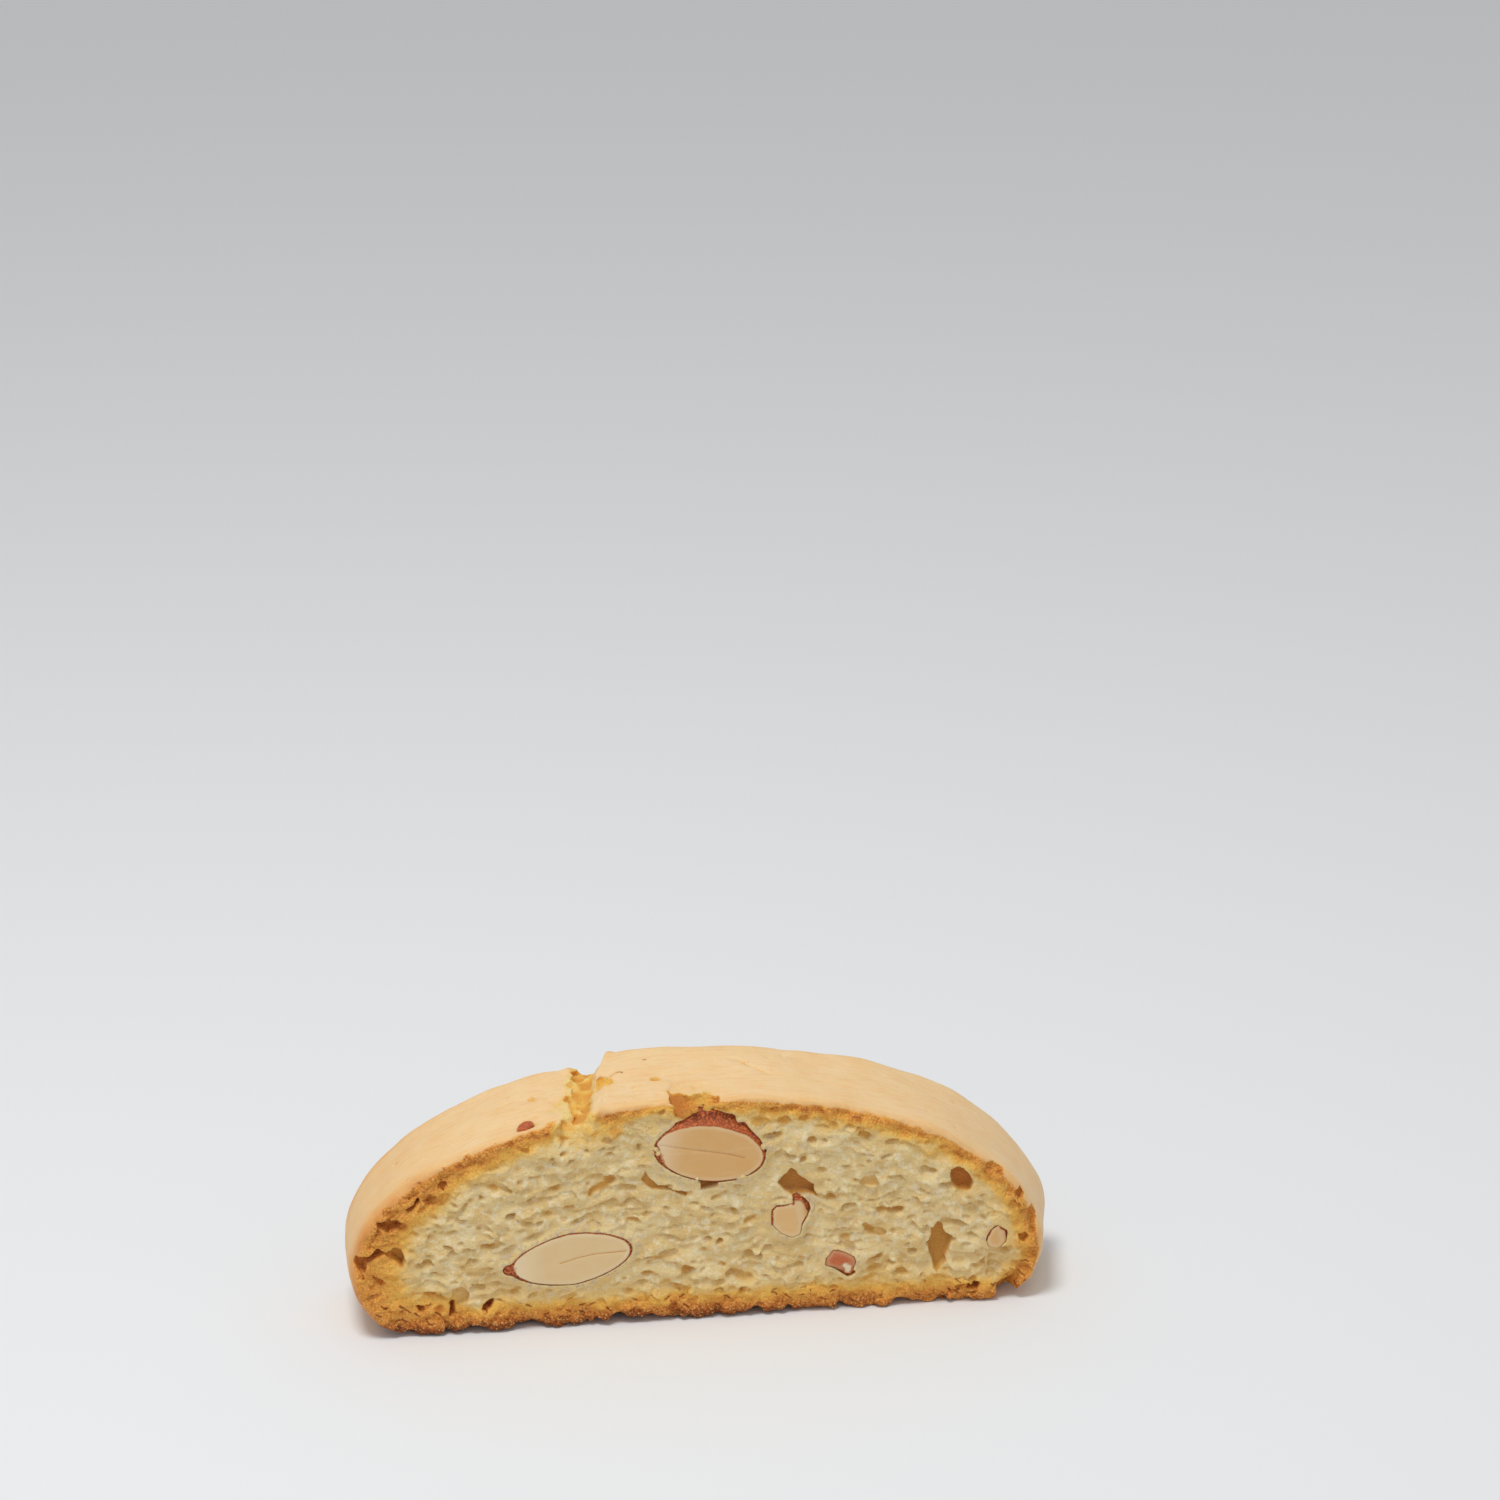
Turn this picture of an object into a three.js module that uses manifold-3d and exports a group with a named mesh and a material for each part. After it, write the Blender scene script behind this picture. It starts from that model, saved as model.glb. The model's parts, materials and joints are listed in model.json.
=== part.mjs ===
// One slice of almond biscotti, a twice-baked biscuit, standing on its base crust.
// Millimetres. X runs along the slice, Y through its thickness with the front cut face at -Y, Z is up.
// The origin is the middle of the base.
//
// The slice is a thin cross-section of a low domed loaf: a smooth crust over the top and ends, a rough
// base crust, and two open-crumbed cut faces in which cut almonds show.

import * as THREE from "three";
import { mergeVertices } from "three/addons/utils/BufferGeometryUtils.js";
import Module from "manifold-3d";

// ---------------------------------------------------------------- driving dimensions

const THICKNESS = 20; // from cut face to cut face
const FACE = THICKNESS / 2;
const CREST_X = -1.7; // the dome's highest line
const DOME_POWER = 2.03; // exponent of the section's superellipse: 2 is an ellipse
const SECTION_STEPS = 60; // segments over the dome
const FOOT_STEPS = 5; // segments in each rounded bottom corner
const BASE_STEPS = 32; // segments along the base

// The loaf widens a little from the front face to the back one. left and right are measured from
// the crest to each end, waist is the height of each end's widest point, foot how far the rounded
// bottom corner reaches in.
const FRONT_SECTION = {
  left: 55.3,
  right: 54.2,
  top: 37.8,
  leftWaist: 10.5,
  rightWaist: 8.6,
  leftFoot: 11,
  rightFoot: 9.5,
};
const BACK_SECTION = {
  left: 55,
  right: 58.5,
  top: 39.1,
  leftWaist: 9.5,
  rightWaist: 6.2,
  leftFoot: 10,
  rightFoot: 8,
};

const EDGE_ROUND = 1.3; // where a cut face meets the crust
const EDGE_TURNS = [38]; // degrees round that edge at which a section is placed
const CRUST_STATIONS = [-6.2, -3.1, 0, 3.1, 6.2]; // sections between the rounded edges
const CRUST_LUMP = 0.45; // height of the crust's broad swells
const CRUST_LUMP_SIZE = 9;

const BASE_PIT = 2.2; // deepest crag of the base crust
const BASE_PIT_SIZE = 5.5;
const SHALLOWEST_PIT = 0.12; // anything shallower is flat
const REST_PAD = { length: 44, width: 6.5, hold: 2.2 }; // the middle of the base stays flat to rest on

// The crust split along the loaf when it rose, from front to back a little left of the crest.
const CRACK = { frontX: -22.4, backX: -17.4, width: 4.8, depth: 3.4, wander: 0.9, rings: 9 };
const CRACK_LIP = { rise: 0.9, drop: 2.2, reach: 4 }; // the right plate rides up, the left one sinks

const GAP = 0.3; // clearance between a cut almond and its pocket
const OVERSHOOT = 3; // how far a cutter passes through the face it opens

// Almond kernels that the front knife cut through: middle of the section, full sizes, and slope.
const ALMOND_UPPER = { x: -1.3, z: 28.5, y: -6.4, length: 20.4, height: 11.5, depth: 13, slope: -8 };
const ALMOND_LOWER = { x: -22.8, z: 11.9, y: -7.2, length: 21.4, height: 10, depth: 11, slope: 8 };
// And the back knife.
const ALMOND_BACK_HIGH = { x: 17.5, z: 24.5, y: 6.9, length: 19.5, height: 10.4, depth: 11, slope: 14 };
const ALMOND_BACK_LOW = { x: -31.5, z: 14.5, y: 7.4, length: 17.5, height: 9.2, depth: 10, slope: -22 };
const ALMOND_TAPER = 0.22; // how much slimmer the pointed end is
const KERNEL_ROUND = 20; // sides round a kernel
const KERNEL_LONG = 12; // segments along it

// Chopped almond: middle, full sizes and slope.
const CHIPS = {
  almond_chip_middle: { x: 12.5, y: -8.7, z: 16, width: 5.6, depth: 3.6, height: 5.6, slope: -20, seed: 11 },
  almond_chip_red: { x: 20.4, y: -8.8, z: 8.1, width: 4.6, depth: 3.4, height: 4.4, slope: -35, seed: 12 },
  almond_chip_right: { x: 45.1, y: -8.9, z: 11.2, width: 4, depth: 3.2, height: 4.2, slope: 40, seed: 13 },
  almond_chip_crust: { x: -29, y: -6.9, z: 33.6, width: 3.2, depth: 2.2, height: 2, slope: 25, seed: 14 },
  almond_chip_back: { x: -6.5, y: 8.7, z: 12.5, width: 5.6, depth: 3.6, height: 4.8, slope: 30, seed: 15 },
  almond_chip_back_end: { x: 40.5, y: 8.8, z: 11, width: 4.4, depth: 3.4, height: 4, slope: -15, seed: 16 },
};

// Hollows in the front cut face: middle, full width and height, slope, and depth into the crumb.
const FRONT_HOLLOWS = [
  { x: 39.8, z: 21, width: 4.7, height: 5.4, slope: -30, depth: 3.4 },
  { x: 36.1, z: 9.6, width: 4.6, height: 9, slope: -12, depth: 3.6 },
  { x: 12.9, z: 22.4, width: 6.2, height: 5, slope: -20, depth: 3.4 },
  { x: 24.8, z: 21.7, width: 3.4, height: 2.2, slope: -20, depth: 1.8 },
  { x: 25.6, z: 13.3, width: 4.2, height: 2.4, slope: 10, depth: 2 },
  { x: -0.8, z: 22.7, width: 3.6, height: 2.6, slope: -25, depth: 2 },
  { x: -17.3, z: 23.7, width: 6, height: 2.2, slope: 42, depth: 2.4 },
  { x: -8.6, z: 23.6, width: 8.4, height: 2, slope: -30, depth: 2.2 },
  { x: -52.4, z: 13.2, width: 8.4, height: 4.2, slope: 24, depth: 3.2 },
  { x: -45.6, z: 22.5, width: 5.6, height: 2.6, slope: 28, depth: 2.6 },
  { x: -50.9, z: 18.8, width: 3.8, height: 2.2, slope: 35, depth: 2.2 },
  { x: -39.9, z: 6.7, width: 3.2, height: 2.8, slope: 50, depth: 2 },
  { x: 44.2, z: 6.5, width: 3.2, height: 3.4, slope: -45, depth: 2.4 },
  { x: 41.5, z: 2.5, width: 3, height: 2, slope: 15, depth: 2.2 },
  { x: 50.6, z: 12.9, width: 2.2, height: 5, slope: 0, depth: 2 },
  { x: 48.8, z: 10.2, width: 1.8, height: 2.2, slope: 0, depth: 1.8 },
];

// Bubbles spread over the crumb by a rule: how many, how far apart and from the crust, least and
// most width, and height and depth as shares of the width.
const BACK_HOLLOWS = { count: 13, spacing: 6, rim: 6, least: 3, most: 6.5, squash: 0.6, depth: 0.5, seed: 7 };
const PORES = { count: 38, spacing: 2.1, rim: 4.5, least: 1.4, most: 4, squash: 0.5, depth: 0.5, seed: 2 };
const KEEP_CLEAR = 0.34; // of the width of what a bubble keeps clear of
const BUBBLE_LEAN = 0.5; // degrees for each millimetre from the crest
const BUBBLE_STRAY = 14; // degrees either way from that lean
const TRIES = 200; // for each bubble, before there is no room left
const FINE_WIDTH = 3; // a hollow wider than this gets a smoother surface
const BACK_SEED = 40; // sets the back face's draws apart from the front one's

// Broken crags along the rims of both cut faces.
const CRAGS = { count: 20, inset: 1.1, least: 1.2, most: 2.6, depth: 0.6, seed: 5 };

// And along the bottom edges of both faces, where flakes of the base crust are missing.
const BASE_NOTCHES = { count: 8, least: 2.4, most: 4.6, height: 3.4, depth: 3.6, seed: 9 };

// The crust has torn open over the upper almond, down to its skin.
const TEAR = { x: -2.4, y: -6.2, width: 7.4, depth: 7.2, height: 4.4 };
const TEAR_NOTCH = { x: -3, y: -9.4, width: 1.8, depth: 4, height: 7 };
const ALMOND_VIEW = { x: -0.6, y: -9.2, z: 32.4, width: 13.6, depth: 5.6, height: 7.4 };

// Pits pressed into the crust: place and size.
const CRUST_PITS = [
  { x: -16.3, y: 0, width: 2.8, depth: 4 },
  { x: -27.3, y: 0.8, width: 1.5, depth: 1.8 },
  { x: -8, y: -1.2, width: 1.4, depth: 1.6 },
];
const PIT_HEIGHT = 1.9;

// At the right end a fold in the dough leaves a rounded lobe behind a crease.
const CREASE = { x: 46.9, y: -8.6, z: 1.8, width: 2.6, depth: 7, height: 6, slope: -28 };

const COLOURS = {
  crumb: 0xd9b878,
  flesh: 0xd8b482,
  skin: 0x9a5230,
};
const ROUGHNESS = { crumb: 0.85, flesh: 0.5, skin: 0.6 };
const SKIN_SIDE_OUT = ["almond_chip_red", "almond_chip_crust"]; // the other pieces show their flesh

// ---------------------------------------------------------------- helpers

const wasm = await Module();
wasm.setup();

const radians = THREE.MathUtils.degToRad;
const mix = THREE.MathUtils.lerp;

// A repeatable stream of numbers from 0 to 1.
function stream(seed) {
  let state = seed * 2654435761;
  return () => {
    state = (state + 0x6d2b79f5) | 0;
    let t = Math.imul(state ^ (state >>> 15), 1 | state);
    t = (t + Math.imul(t ^ (t >>> 7), 61 | t)) ^ t;
    return ((t ^ (t >>> 14)) >>> 0) / 4294967296;
  };
}

// A fixed value from -1 to 1 at each point of the whole-number grid.
function gridValue(i, j, k) {
  let bits = Math.imul(i, 374761393) + Math.imul(j, 668265263) + Math.imul(k, 1274126177);
  bits = Math.imul(bits ^ (bits >>> 13), 1103515245);
  return ((bits ^ (bits >>> 16)) >>> 0) / 2147483648 - 1;
}

// Smooth noise from -1 to 1, between the grid's values.
function noise(x, y, z) {
  const [i, j, k] = [x, y, z].map(Math.floor);
  const [u, v, w] = [x - i, y - j, z - k].map((t) => t * t * (3 - 2 * t));
  const row = (b, c) => mix(gridValue(i, b, c), gridValue(i + 1, b, c), u);
  const layer = (c) => mix(row(j, c), row(j + 1, c), v);
  return mix(layer(k), layer(k + 1), w);
}

function positionsOnly(geometry) {
  geometry.deleteAttribute("normal");
  geometry.deleteAttribute("uv");
  return mergeVertices(geometry, 1e-4);
}

function toSolid(geometry) {
  const merged = positionsOnly(geometry);
  return new wasm.Manifold(
    new wasm.Mesh({
      numProp: 3,
      vertProperties: new Float32Array(merged.attributes.position.array),
      triVerts: new Uint32Array(merged.index.array),
    }),
  );
}

function toGeometry(solid) {
  const mesh = solid.getMesh();
  return new THREE.BufferGeometry()
    .setAttribute("position", new THREE.BufferAttribute(mesh.vertProperties, 3))
    .setIndex(new THREE.BufferAttribute(mesh.triVerts, 1));
}

const joined = (solids) => solids.reduce((all, solid) => all.add(solid));

// ---------------------------------------------------------------- the loaf's section

function sectionAt(y) {
  const t = (y + FACE) / THICKNESS;
  const keys = Object.keys(FRONT_SECTION);
  return Object.fromEntries(keys.map((key) => [key, mix(FRONT_SECTION[key], BACK_SECTION[key], t)]));
}

const crackX = (y) => mix(CRACK.frontX, CRACK.backX, (y + FACE) / THICKNESS);

// How far the crust stands off the plain dome: the two plates beside the crack, and broad swells.
function crustRelief(x, y, z) {
  const beside = x - crackX(y);
  const front = mix(1, 0.45, (y + FACE) / THICKNESS);
  const plate = beside > 0 ? CRACK_LIP.rise * Math.exp(-beside / (2 * CRACK_LIP.reach))
    : -CRACK_LIP.drop * front * Math.exp(beside / CRACK_LIP.reach);
  const [u, v, w] = [x, y, z].map((value) => value / CRUST_LUMP_SIZE);
  return plate + CRUST_LUMP * noise(u, v, w) + 0.5 * CRUST_LUMP * noise(2.1 * u, 2.1 * v, 2.1 * w + 9);
}

// The base crust rests on its flat parts and is pitted between them.
function baseRelief(x, y) {
  const [u, v] = [x, y].map((value) => value / BASE_PIT_SIZE);
  const pad = REST_PAD.hold * Math.exp(-((x / REST_PAD.length) ** 2) - (y / REST_PAD.width) ** 2);
  const pit = BASE_PIT * (0.75 * noise(u, v, 4) + 0.35 * noise(2.3 * u, 2.3 * v, 8)) - pad;
  return pit < SHALLOWEST_PIT ? 0 : pit;
}

// Height of the plain dome over a point.
function domeHeight(x, y) {
  const s = sectionAt(y);
  const beside = x - CREST_X;
  const [half, waist] = beside < 0 ? [s.left, s.leftWaist] : [s.right, s.rightWaist];
  return waist + (s.top - waist) * (1 - Math.abs(beside / half) ** DOME_POWER) ** (1 / DOME_POWER);
}

const crustHeight = (x, y) => domeHeight(x, y) + crustRelief(x, y, domeHeight(x, y));

// The two ends of the flat part of the base at y.
function baseEnds(y) {
  const s = sectionAt(y);
  return [CREST_X - s.left + s.leftFoot, CREST_X + s.right - s.rightFoot];
}

// The closed outline of the loaf at y, anticlockwise seen from the front, as points [x, z].
function outlineAt(y) {
  const s = sectionAt(y);
  const points = [];
  for (let i = 0; i <= SECTION_STEPS; i++) {
    const turn = (Math.PI * i) / SECTION_STEPS;
    const [half, waist] = i < SECTION_STEPS / 2 ? [s.right, s.rightWaist] : [-s.left, s.leftWaist];
    const across = Math.abs(Math.cos(turn)) ** (2 / DOME_POWER);
    const up = Math.sin(turn) ** (2 / DOME_POWER);
    points.push([CREST_X + half * across, waist + (s.top - waist) * up]);
  }
  const corner = (step, end, waist, foot) => {
    const turn = ((Math.PI / 2) * step) / FOOT_STEPS;
    return [end + foot * (1 - Math.cos(turn)), waist * (1 - Math.sin(turn))];
  };
  for (let i = 1; i <= FOOT_STEPS; i++)
    points.push(corner(i, CREST_X - s.left, s.leftWaist, s.leftFoot));
  const [from, to] = baseEnds(y);
  for (let i = 1; i <= BASE_STEPS; i++) points.push([mix(from, to, i / BASE_STEPS), 0]);
  for (let i = FOOT_STEPS - 1; i > 0; i--)
    points.push(corner(i, CREST_X + s.right, s.rightWaist, -s.rightFoot));
  return points;
}

// That outline with its relief, drawn in by inset.
function ringAt(y, inset) {
  const plain = outlineAt(y);
  const count = plain.length;
  return plain.map(([x, z], i) => {
    const [ax, az] = plain[(i + count - 1) % count];
    const [bx, bz] = plain[(i + 1) % count];
    const length = Math.hypot(bx - ax, bz - az);
    const [outX, outZ] = [(bz - az) / length, (ax - bx) / length];
    const onBase = i > SECTION_STEPS + FOOT_STEPS && i <= SECTION_STEPS + FOOT_STEPS + BASE_STEPS;
    if (onBase) return new THREE.Vector3(x, y, Math.max(inset, baseRelief(x, y)));
    const relief = crustRelief(x, y, z) * THREE.MathUtils.smoothstep(z, 2, 12) - inset;
    return new THREE.Vector3(x + relief * outX, y, Math.max(0, z + relief * outZ));
  });
}

// Sections from the front face to the back one, joined ring to ring and closed by flat faces.
function slab() {
  const edge = EDGE_TURNS.map(radians).map((turn) => [
    FACE - EDGE_ROUND * (1 - Math.sin(turn)),
    EDGE_ROUND * (1 - Math.cos(turn)),
  ]);
  const rounded = [[FACE, EDGE_ROUND], ...edge, [FACE - EDGE_ROUND, 0]];
  const stations = [
    ...rounded.map(([y, inset]) => [-y, inset]),
    ...CRUST_STATIONS.map((y) => [y, 0]),
    ...rounded.reverse(),
  ];
  const rings = stations.map(([y, inset]) => ringAt(y, inset));
  const count = rings[0].length;
  const faces = [];
  for (let k = 0; k + 1 < rings.length; k++)
    for (let i = 0; i < count; i++) {
      const [a, b] = [k * count + i, k * count + ((i + 1) % count)];
      faces.push(a, a + count, b, b, a + count, b + count);
    }
  const flat = (ring) => ring.map((p) => new THREE.Vector2(p.x, p.z));
  THREE.ShapeUtils.triangulateShape(flat(rings[0]), []).forEach(([a, b, c]) => faces.push(a, b, c));
  const last = (rings.length - 1) * count;
  THREE.ShapeUtils.triangulateShape(flat(rings.at(-1)), [])
    .forEach(([a, b, c]) => faces.push(last + a, last + c, last + b));
  return toSolid(new THREE.BufferGeometry().setFromPoints(rings.flat()).setIndex(faces));
}

// ---------------------------------------------------------------- cutters

// An uneven round lump: sizes along X, Y and Z, turned by slope about Y, at a place.
function lump({ x, y, z, width, depth, height, slope = 0, seed = 1, rough = 0.22, detail = 1 }) {
  const geometry = positionsOnly(new THREE.IcosahedronGeometry(1, detail));
  const place = geometry.attributes.position;
  const point = new THREE.Vector3();
  for (let i = 0; i < place.count; i++) {
    point.fromBufferAttribute(place, i);
    const bulge = 1 + rough * noise(1.7 * point.x + 5 * seed, 1.7 * point.y, 1.7 * point.z);
    place.setXYZ(i, point.x * bulge, point.y * bulge, point.z * bulge);
  }
  geometry.scale(width / 2, depth / 2, height / 2);
  geometry.rotateY(-radians(slope));
  geometry.translate(x, y, z);
  return toSolid(geometry);
}

// Whether a point is inside the section at a face, at least margin from its edge.
function insideFace(x, z, face, margin) {
  const end = sectionAt(face);
  const half = x < CREST_X ? end.left : end.right;
  if (Math.abs(x - CREST_X) > half - margin) return false;
  return z > margin && z < domeHeight(x, face) - margin;
}

// The sizes of the bubbles that a face cuts open: wide and low, leaning the way the loaf rose.
function bubbles(rule, face, clear) {
  const draw = stream(rule.seed + (face > 0 ? BACK_SEED : 0));
  const found = [];
  for (let tries = 0; found.length < rule.count && tries < TRIES * rule.count; tries++) {
    const x = mix(-BACK_SECTION.left, BACK_SECTION.right, draw());
    const z = mix(0, BACK_SECTION.top, draw());
    const width = mix(rule.least, rule.most, draw() ** 2);
    const height = width * rule.squash * mix(0.8, 1.3, draw());
    const slope = -BUBBLE_LEAN * x + mix(-BUBBLE_STRAY, BUBBLE_STRAY, draw());
    const room = (other) => Math.hypot(0.7 * (other.x - x), other.z - z)
      > rule.spacing + KEEP_CLEAR * (other.length ?? other.width);
    if (insideFace(x, z, face, rule.rim) && [...found, ...clear].every(room))
      found.push({ x, z, width, height, depth: width * rule.depth, slope });
  }
  return found;
}

// Solids that open such hollows in a face.
function hollows(list, face, seed) {
  return list.map((hollow, i) => lump({
    ...hollow,
    y: face,
    depth: 2 * hollow.depth,
    seed: seed + i,
    rough: 0.3,
    detail: hollow.width > FINE_WIDTH ? 1 : 0,
  }));
}

// Scoops broken out of the rim of a face, where crust and crumb meet.
function rimCrags(face) {
  const draw = stream(CRAGS.seed + (face > 0 ? BACK_SEED : 0));
  const rim = ringAt(face, CRAGS.inset);
  return Array.from({ length: CRAGS.count }, (_, i) => {
    const at = rim[Math.floor(((i + draw()) / CRAGS.count) * SECTION_STEPS)];
    const size = mix(CRAGS.least, CRAGS.most, draw() ** 2);
    const inward = mix(0.3, 1.8, draw());
    const side = Math.sign(at.x - CREST_X);
    return lump({
      x: at.x - (side * inward * Math.abs(at.x)) / FRONT_SECTION.left,
      y: face,
      z: at.z - inward,
      width: size * 1.6,
      height: size,
      depth: 2 * size * CRAGS.depth,
      slope: -at.x * 0.6,
      seed: i + 90,
      detail: 0,
    });
  });
}

// Flakes missing from the bottom edge of a face.
function baseNotches(face) {
  const draw = stream(BASE_NOTCHES.seed + (face > 0 ? BACK_SEED : 0));
  const [from, to] = baseEnds(face);
  return Array.from({ length: BASE_NOTCHES.count }, (_, i) => lump({
    x: mix(from, to, (i + draw()) / BASE_NOTCHES.count),
    y: face,
    z: 0,
    width: mix(BASE_NOTCHES.least, BASE_NOTCHES.most, draw()),
    height: BASE_NOTCHES.height * mix(0.6, 1.2, draw()),
    depth: BASE_NOTCHES.depth,
    seed: i + 120,
    detail: 0,
  }));
}

// The split in the crust: a ragged wedge from front to back.
function crustCrack() {
  const sides = [
    [-0.5, 1],
    [-0.42, 0.25],
    [-0.1, -1],
    [0.12, -0.9],
    [0.36, 0.1],
    [0.6, 1],
  ];
  const points = [];
  for (let k = 0; k < CRACK.rings; k++) {
    const y = mix(-FACE - OVERSHOOT, FACE + OVERSHOOT, k / (CRACK.rings - 1));
    const x = crackX(y) + CRACK.wander * noise(0.45 * y, 3, 5);
    const size = 1 + 0.3 * noise(0.5 * y, 7, 2);
    const top = domeHeight(x, THREE.MathUtils.clamp(y, -FACE, FACE));
    const centre = top - 0.5;
    sides.forEach(([across, up], i) => {
      const ragged = 0.14 * noise(0.6 * y, 2 * i, 9);
      points.push(new THREE.Vector3(
        x + CRACK.width * size * (across + ragged),
        y,
        centre + CRACK.depth * size * (up + ragged),
      ));
    });
  }
  const count = sides.length;
  const faces = [];
  for (let k = 0; k + 1 < CRACK.rings; k++)
    for (let i = 0; i < count; i++) {
      const [a, b] = [k * count + i, k * count + ((i + 1) % count)];
      faces.push(a, a + count, b, b, a + count, b + count);
    }
  const last = (CRACK.rings - 1) * count;
  for (let i = 1; i + 1 < count; i++) {
    faces.push(0, i, i + 1);
    faces.push(last, last + i + 1, last + i);
  }
  return toSolid(new THREE.BufferGeometry().setFromPoints(points).setIndex(faces));
}

function crustPits() {
  return CRUST_PITS.map((pit, i) =>
    lump({ ...pit, z: crustHeight(pit.x, pit.y), height: PIT_HEIGHT, seed: i + 30 }));
}

// The tear over the upper almond: a pit in the crust, a notch through its rim, and the room that
// lets the almond's skin be seen behind the cut.
function crustTear() {
  const pit = lump({ ...TEAR, z: crustHeight(TEAR.x, TEAR.y), seed: 21, rough: 0.3 });
  const notch = lump({ ...TEAR_NOTCH, z: crustHeight(TEAR_NOTCH.x, TEAR_NOTCH.y) - 1.5, seed: 22 });
  const view = lump({ ...ALMOND_VIEW, seed: 23, rough: 0.18 });
  return [pit, notch, view];
}

// ---------------------------------------------------------------- almonds

// A piece's sizes with room round it.
function grown(sizes) {
  const keys = ["length", "width", "depth", "height"].filter((key) => key in sizes);
  return { ...sizes, ...Object.fromEntries(keys.map((key) => [key, sizes[key] + 2 * GAP])) };
}

// A whole kernel: oval in section, blunt at one end and pointed at the other.
function kernel({ x, y, z, length, height, depth, slope }) {
  const geometry = positionsOnly(new THREE.SphereGeometry(1, KERNEL_ROUND, KERNEL_LONG).rotateZ(Math.PI / 2));
  const place = geometry.attributes.position;
  for (let i = 0; i < place.count; i++) {
    const along = place.getX(i);
    const slim = 1 + ALMOND_TAPER * along - 0.1 * along ** 2;
    place.setXYZ(i, along, place.getY(i) * slim, place.getZ(i) * slim);
  }
  geometry.scale(length / 2, depth / 2, height / 2);
  geometry.rotateY(-radians(slope));
  geometry.translate(x, y, z);
  return toSolid(geometry);
}

// All that lies beyond a cut face.
function beyond(face) {
  const size = 4 * FACE;
  const geometry = new THREE.BoxGeometry(8 * size, size, 4 * size);
  geometry.translate(0, face + (Math.sign(face) * size) / 2, 0);
  return toSolid(geometry);
}

const cutFlush = (solid, face) => solid.subtract(beyond(face));

// ---------------------------------------------------------------- assembly

// Each almond piece's sizes and solid, the pocket it sits in, and the face that it is cut flush with.
const KERNELS = {
  almond_upper: ALMOND_UPPER,
  almond_lower: ALMOND_LOWER,
  almond_back_high: ALMOND_BACK_HIGH,
  almond_back_low: ALMOND_BACK_LOW,
};
const faceOf = (sizes) => Math.sign(sizes.y) * FACE;
const almonds = [
  ...Object.entries(KERNELS).map(([name, sizes]) => (
    { name, sizes, shape: kernel(sizes), pocket: kernel(grown(sizes)) })),
  ...Object.entries(CHIPS).map(([name, sizes]) => (
    { name, sizes, shape: lump(sizes), pocket: lump(grown(sizes)) })),
];

const sizesOn = (face) => almonds.map(({ sizes }) => sizes).filter((sizes) => faceOf(sizes) === face);
const backHollows = bubbles(BACK_HOLLOWS, FACE, sizesOn(FACE));
const frontPores = bubbles(PORES, -FACE, [...FRONT_HOLLOWS, ...sizesOn(-FACE)]);
const backPores = bubbles(PORES, FACE, [...backHollows, ...sizesOn(FACE)]);

const cutters = joined([
  crustCrack(),
  ...crustTear(),
  ...crustPits(),
  lump({ ...CREASE, seed: 24 }),
  ...hollows(FRONT_HOLLOWS, -FACE, 60),
  ...hollows(backHollows, FACE, 80),
  ...hollows(frontPores, -FACE, 200),
  ...hollows(backPores, FACE, 300),
  ...rimCrags(-FACE),
  ...rimCrags(FACE),
  ...baseNotches(-FACE),
  ...baseNotches(FACE),
  ...almonds.map((almond) => almond.pocket),
]);

function meshOf(name, solid, colour, roughness) {
  const material = new THREE.MeshStandardMaterial({ color: colour, roughness, metalness: 0 });
  const mesh = new THREE.Mesh(toGeometry(solid), material);
  mesh.name = name;
  return mesh;
}

const biscotti = new THREE.Group();
biscotti.add(meshOf("biscotti_slice", slab().subtract(cutters), COLOURS.crumb, ROUGHNESS.crumb));
for (const { name, sizes, shape } of almonds) {
  const surface = SKIN_SIDE_OUT.includes(name) ? "skin" : "flesh";
  biscotti.add(meshOf(name, cutFlush(shape, faceOf(sizes)), COLOURS[surface], ROUGHNESS[surface]));
}

export default biscotti;
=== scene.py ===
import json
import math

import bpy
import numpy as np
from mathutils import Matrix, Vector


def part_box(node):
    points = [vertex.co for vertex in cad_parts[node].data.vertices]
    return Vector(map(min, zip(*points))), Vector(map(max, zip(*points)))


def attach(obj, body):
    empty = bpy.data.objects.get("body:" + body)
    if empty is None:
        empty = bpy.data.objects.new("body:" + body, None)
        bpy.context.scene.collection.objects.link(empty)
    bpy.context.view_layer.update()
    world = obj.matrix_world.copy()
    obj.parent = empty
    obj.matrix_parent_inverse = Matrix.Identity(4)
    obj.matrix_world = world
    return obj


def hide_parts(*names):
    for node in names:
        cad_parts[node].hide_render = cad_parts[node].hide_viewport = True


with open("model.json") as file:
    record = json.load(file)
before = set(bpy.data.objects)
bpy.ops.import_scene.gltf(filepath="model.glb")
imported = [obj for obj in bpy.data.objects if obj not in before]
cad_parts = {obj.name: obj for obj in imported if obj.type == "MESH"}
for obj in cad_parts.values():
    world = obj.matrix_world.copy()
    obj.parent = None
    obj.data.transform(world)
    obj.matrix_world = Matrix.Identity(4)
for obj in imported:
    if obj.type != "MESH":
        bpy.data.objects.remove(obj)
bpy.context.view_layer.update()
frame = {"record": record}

# One slice of almond biscotti. The dough is the CAD slice turned into a block of distances, in which
# the crumb's bubbles, the toasted rims and the cracks are carved, and which is then meshed again.
# Each almond piece is its CAD node made finer, with a skin round its flesh. Shapes are worked out in
# millimetres, in the frame of the CAD.

import openvdb
from mathutils import Matrix, Vector

MM = 0.001
random_from = np.random.default_rng

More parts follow.
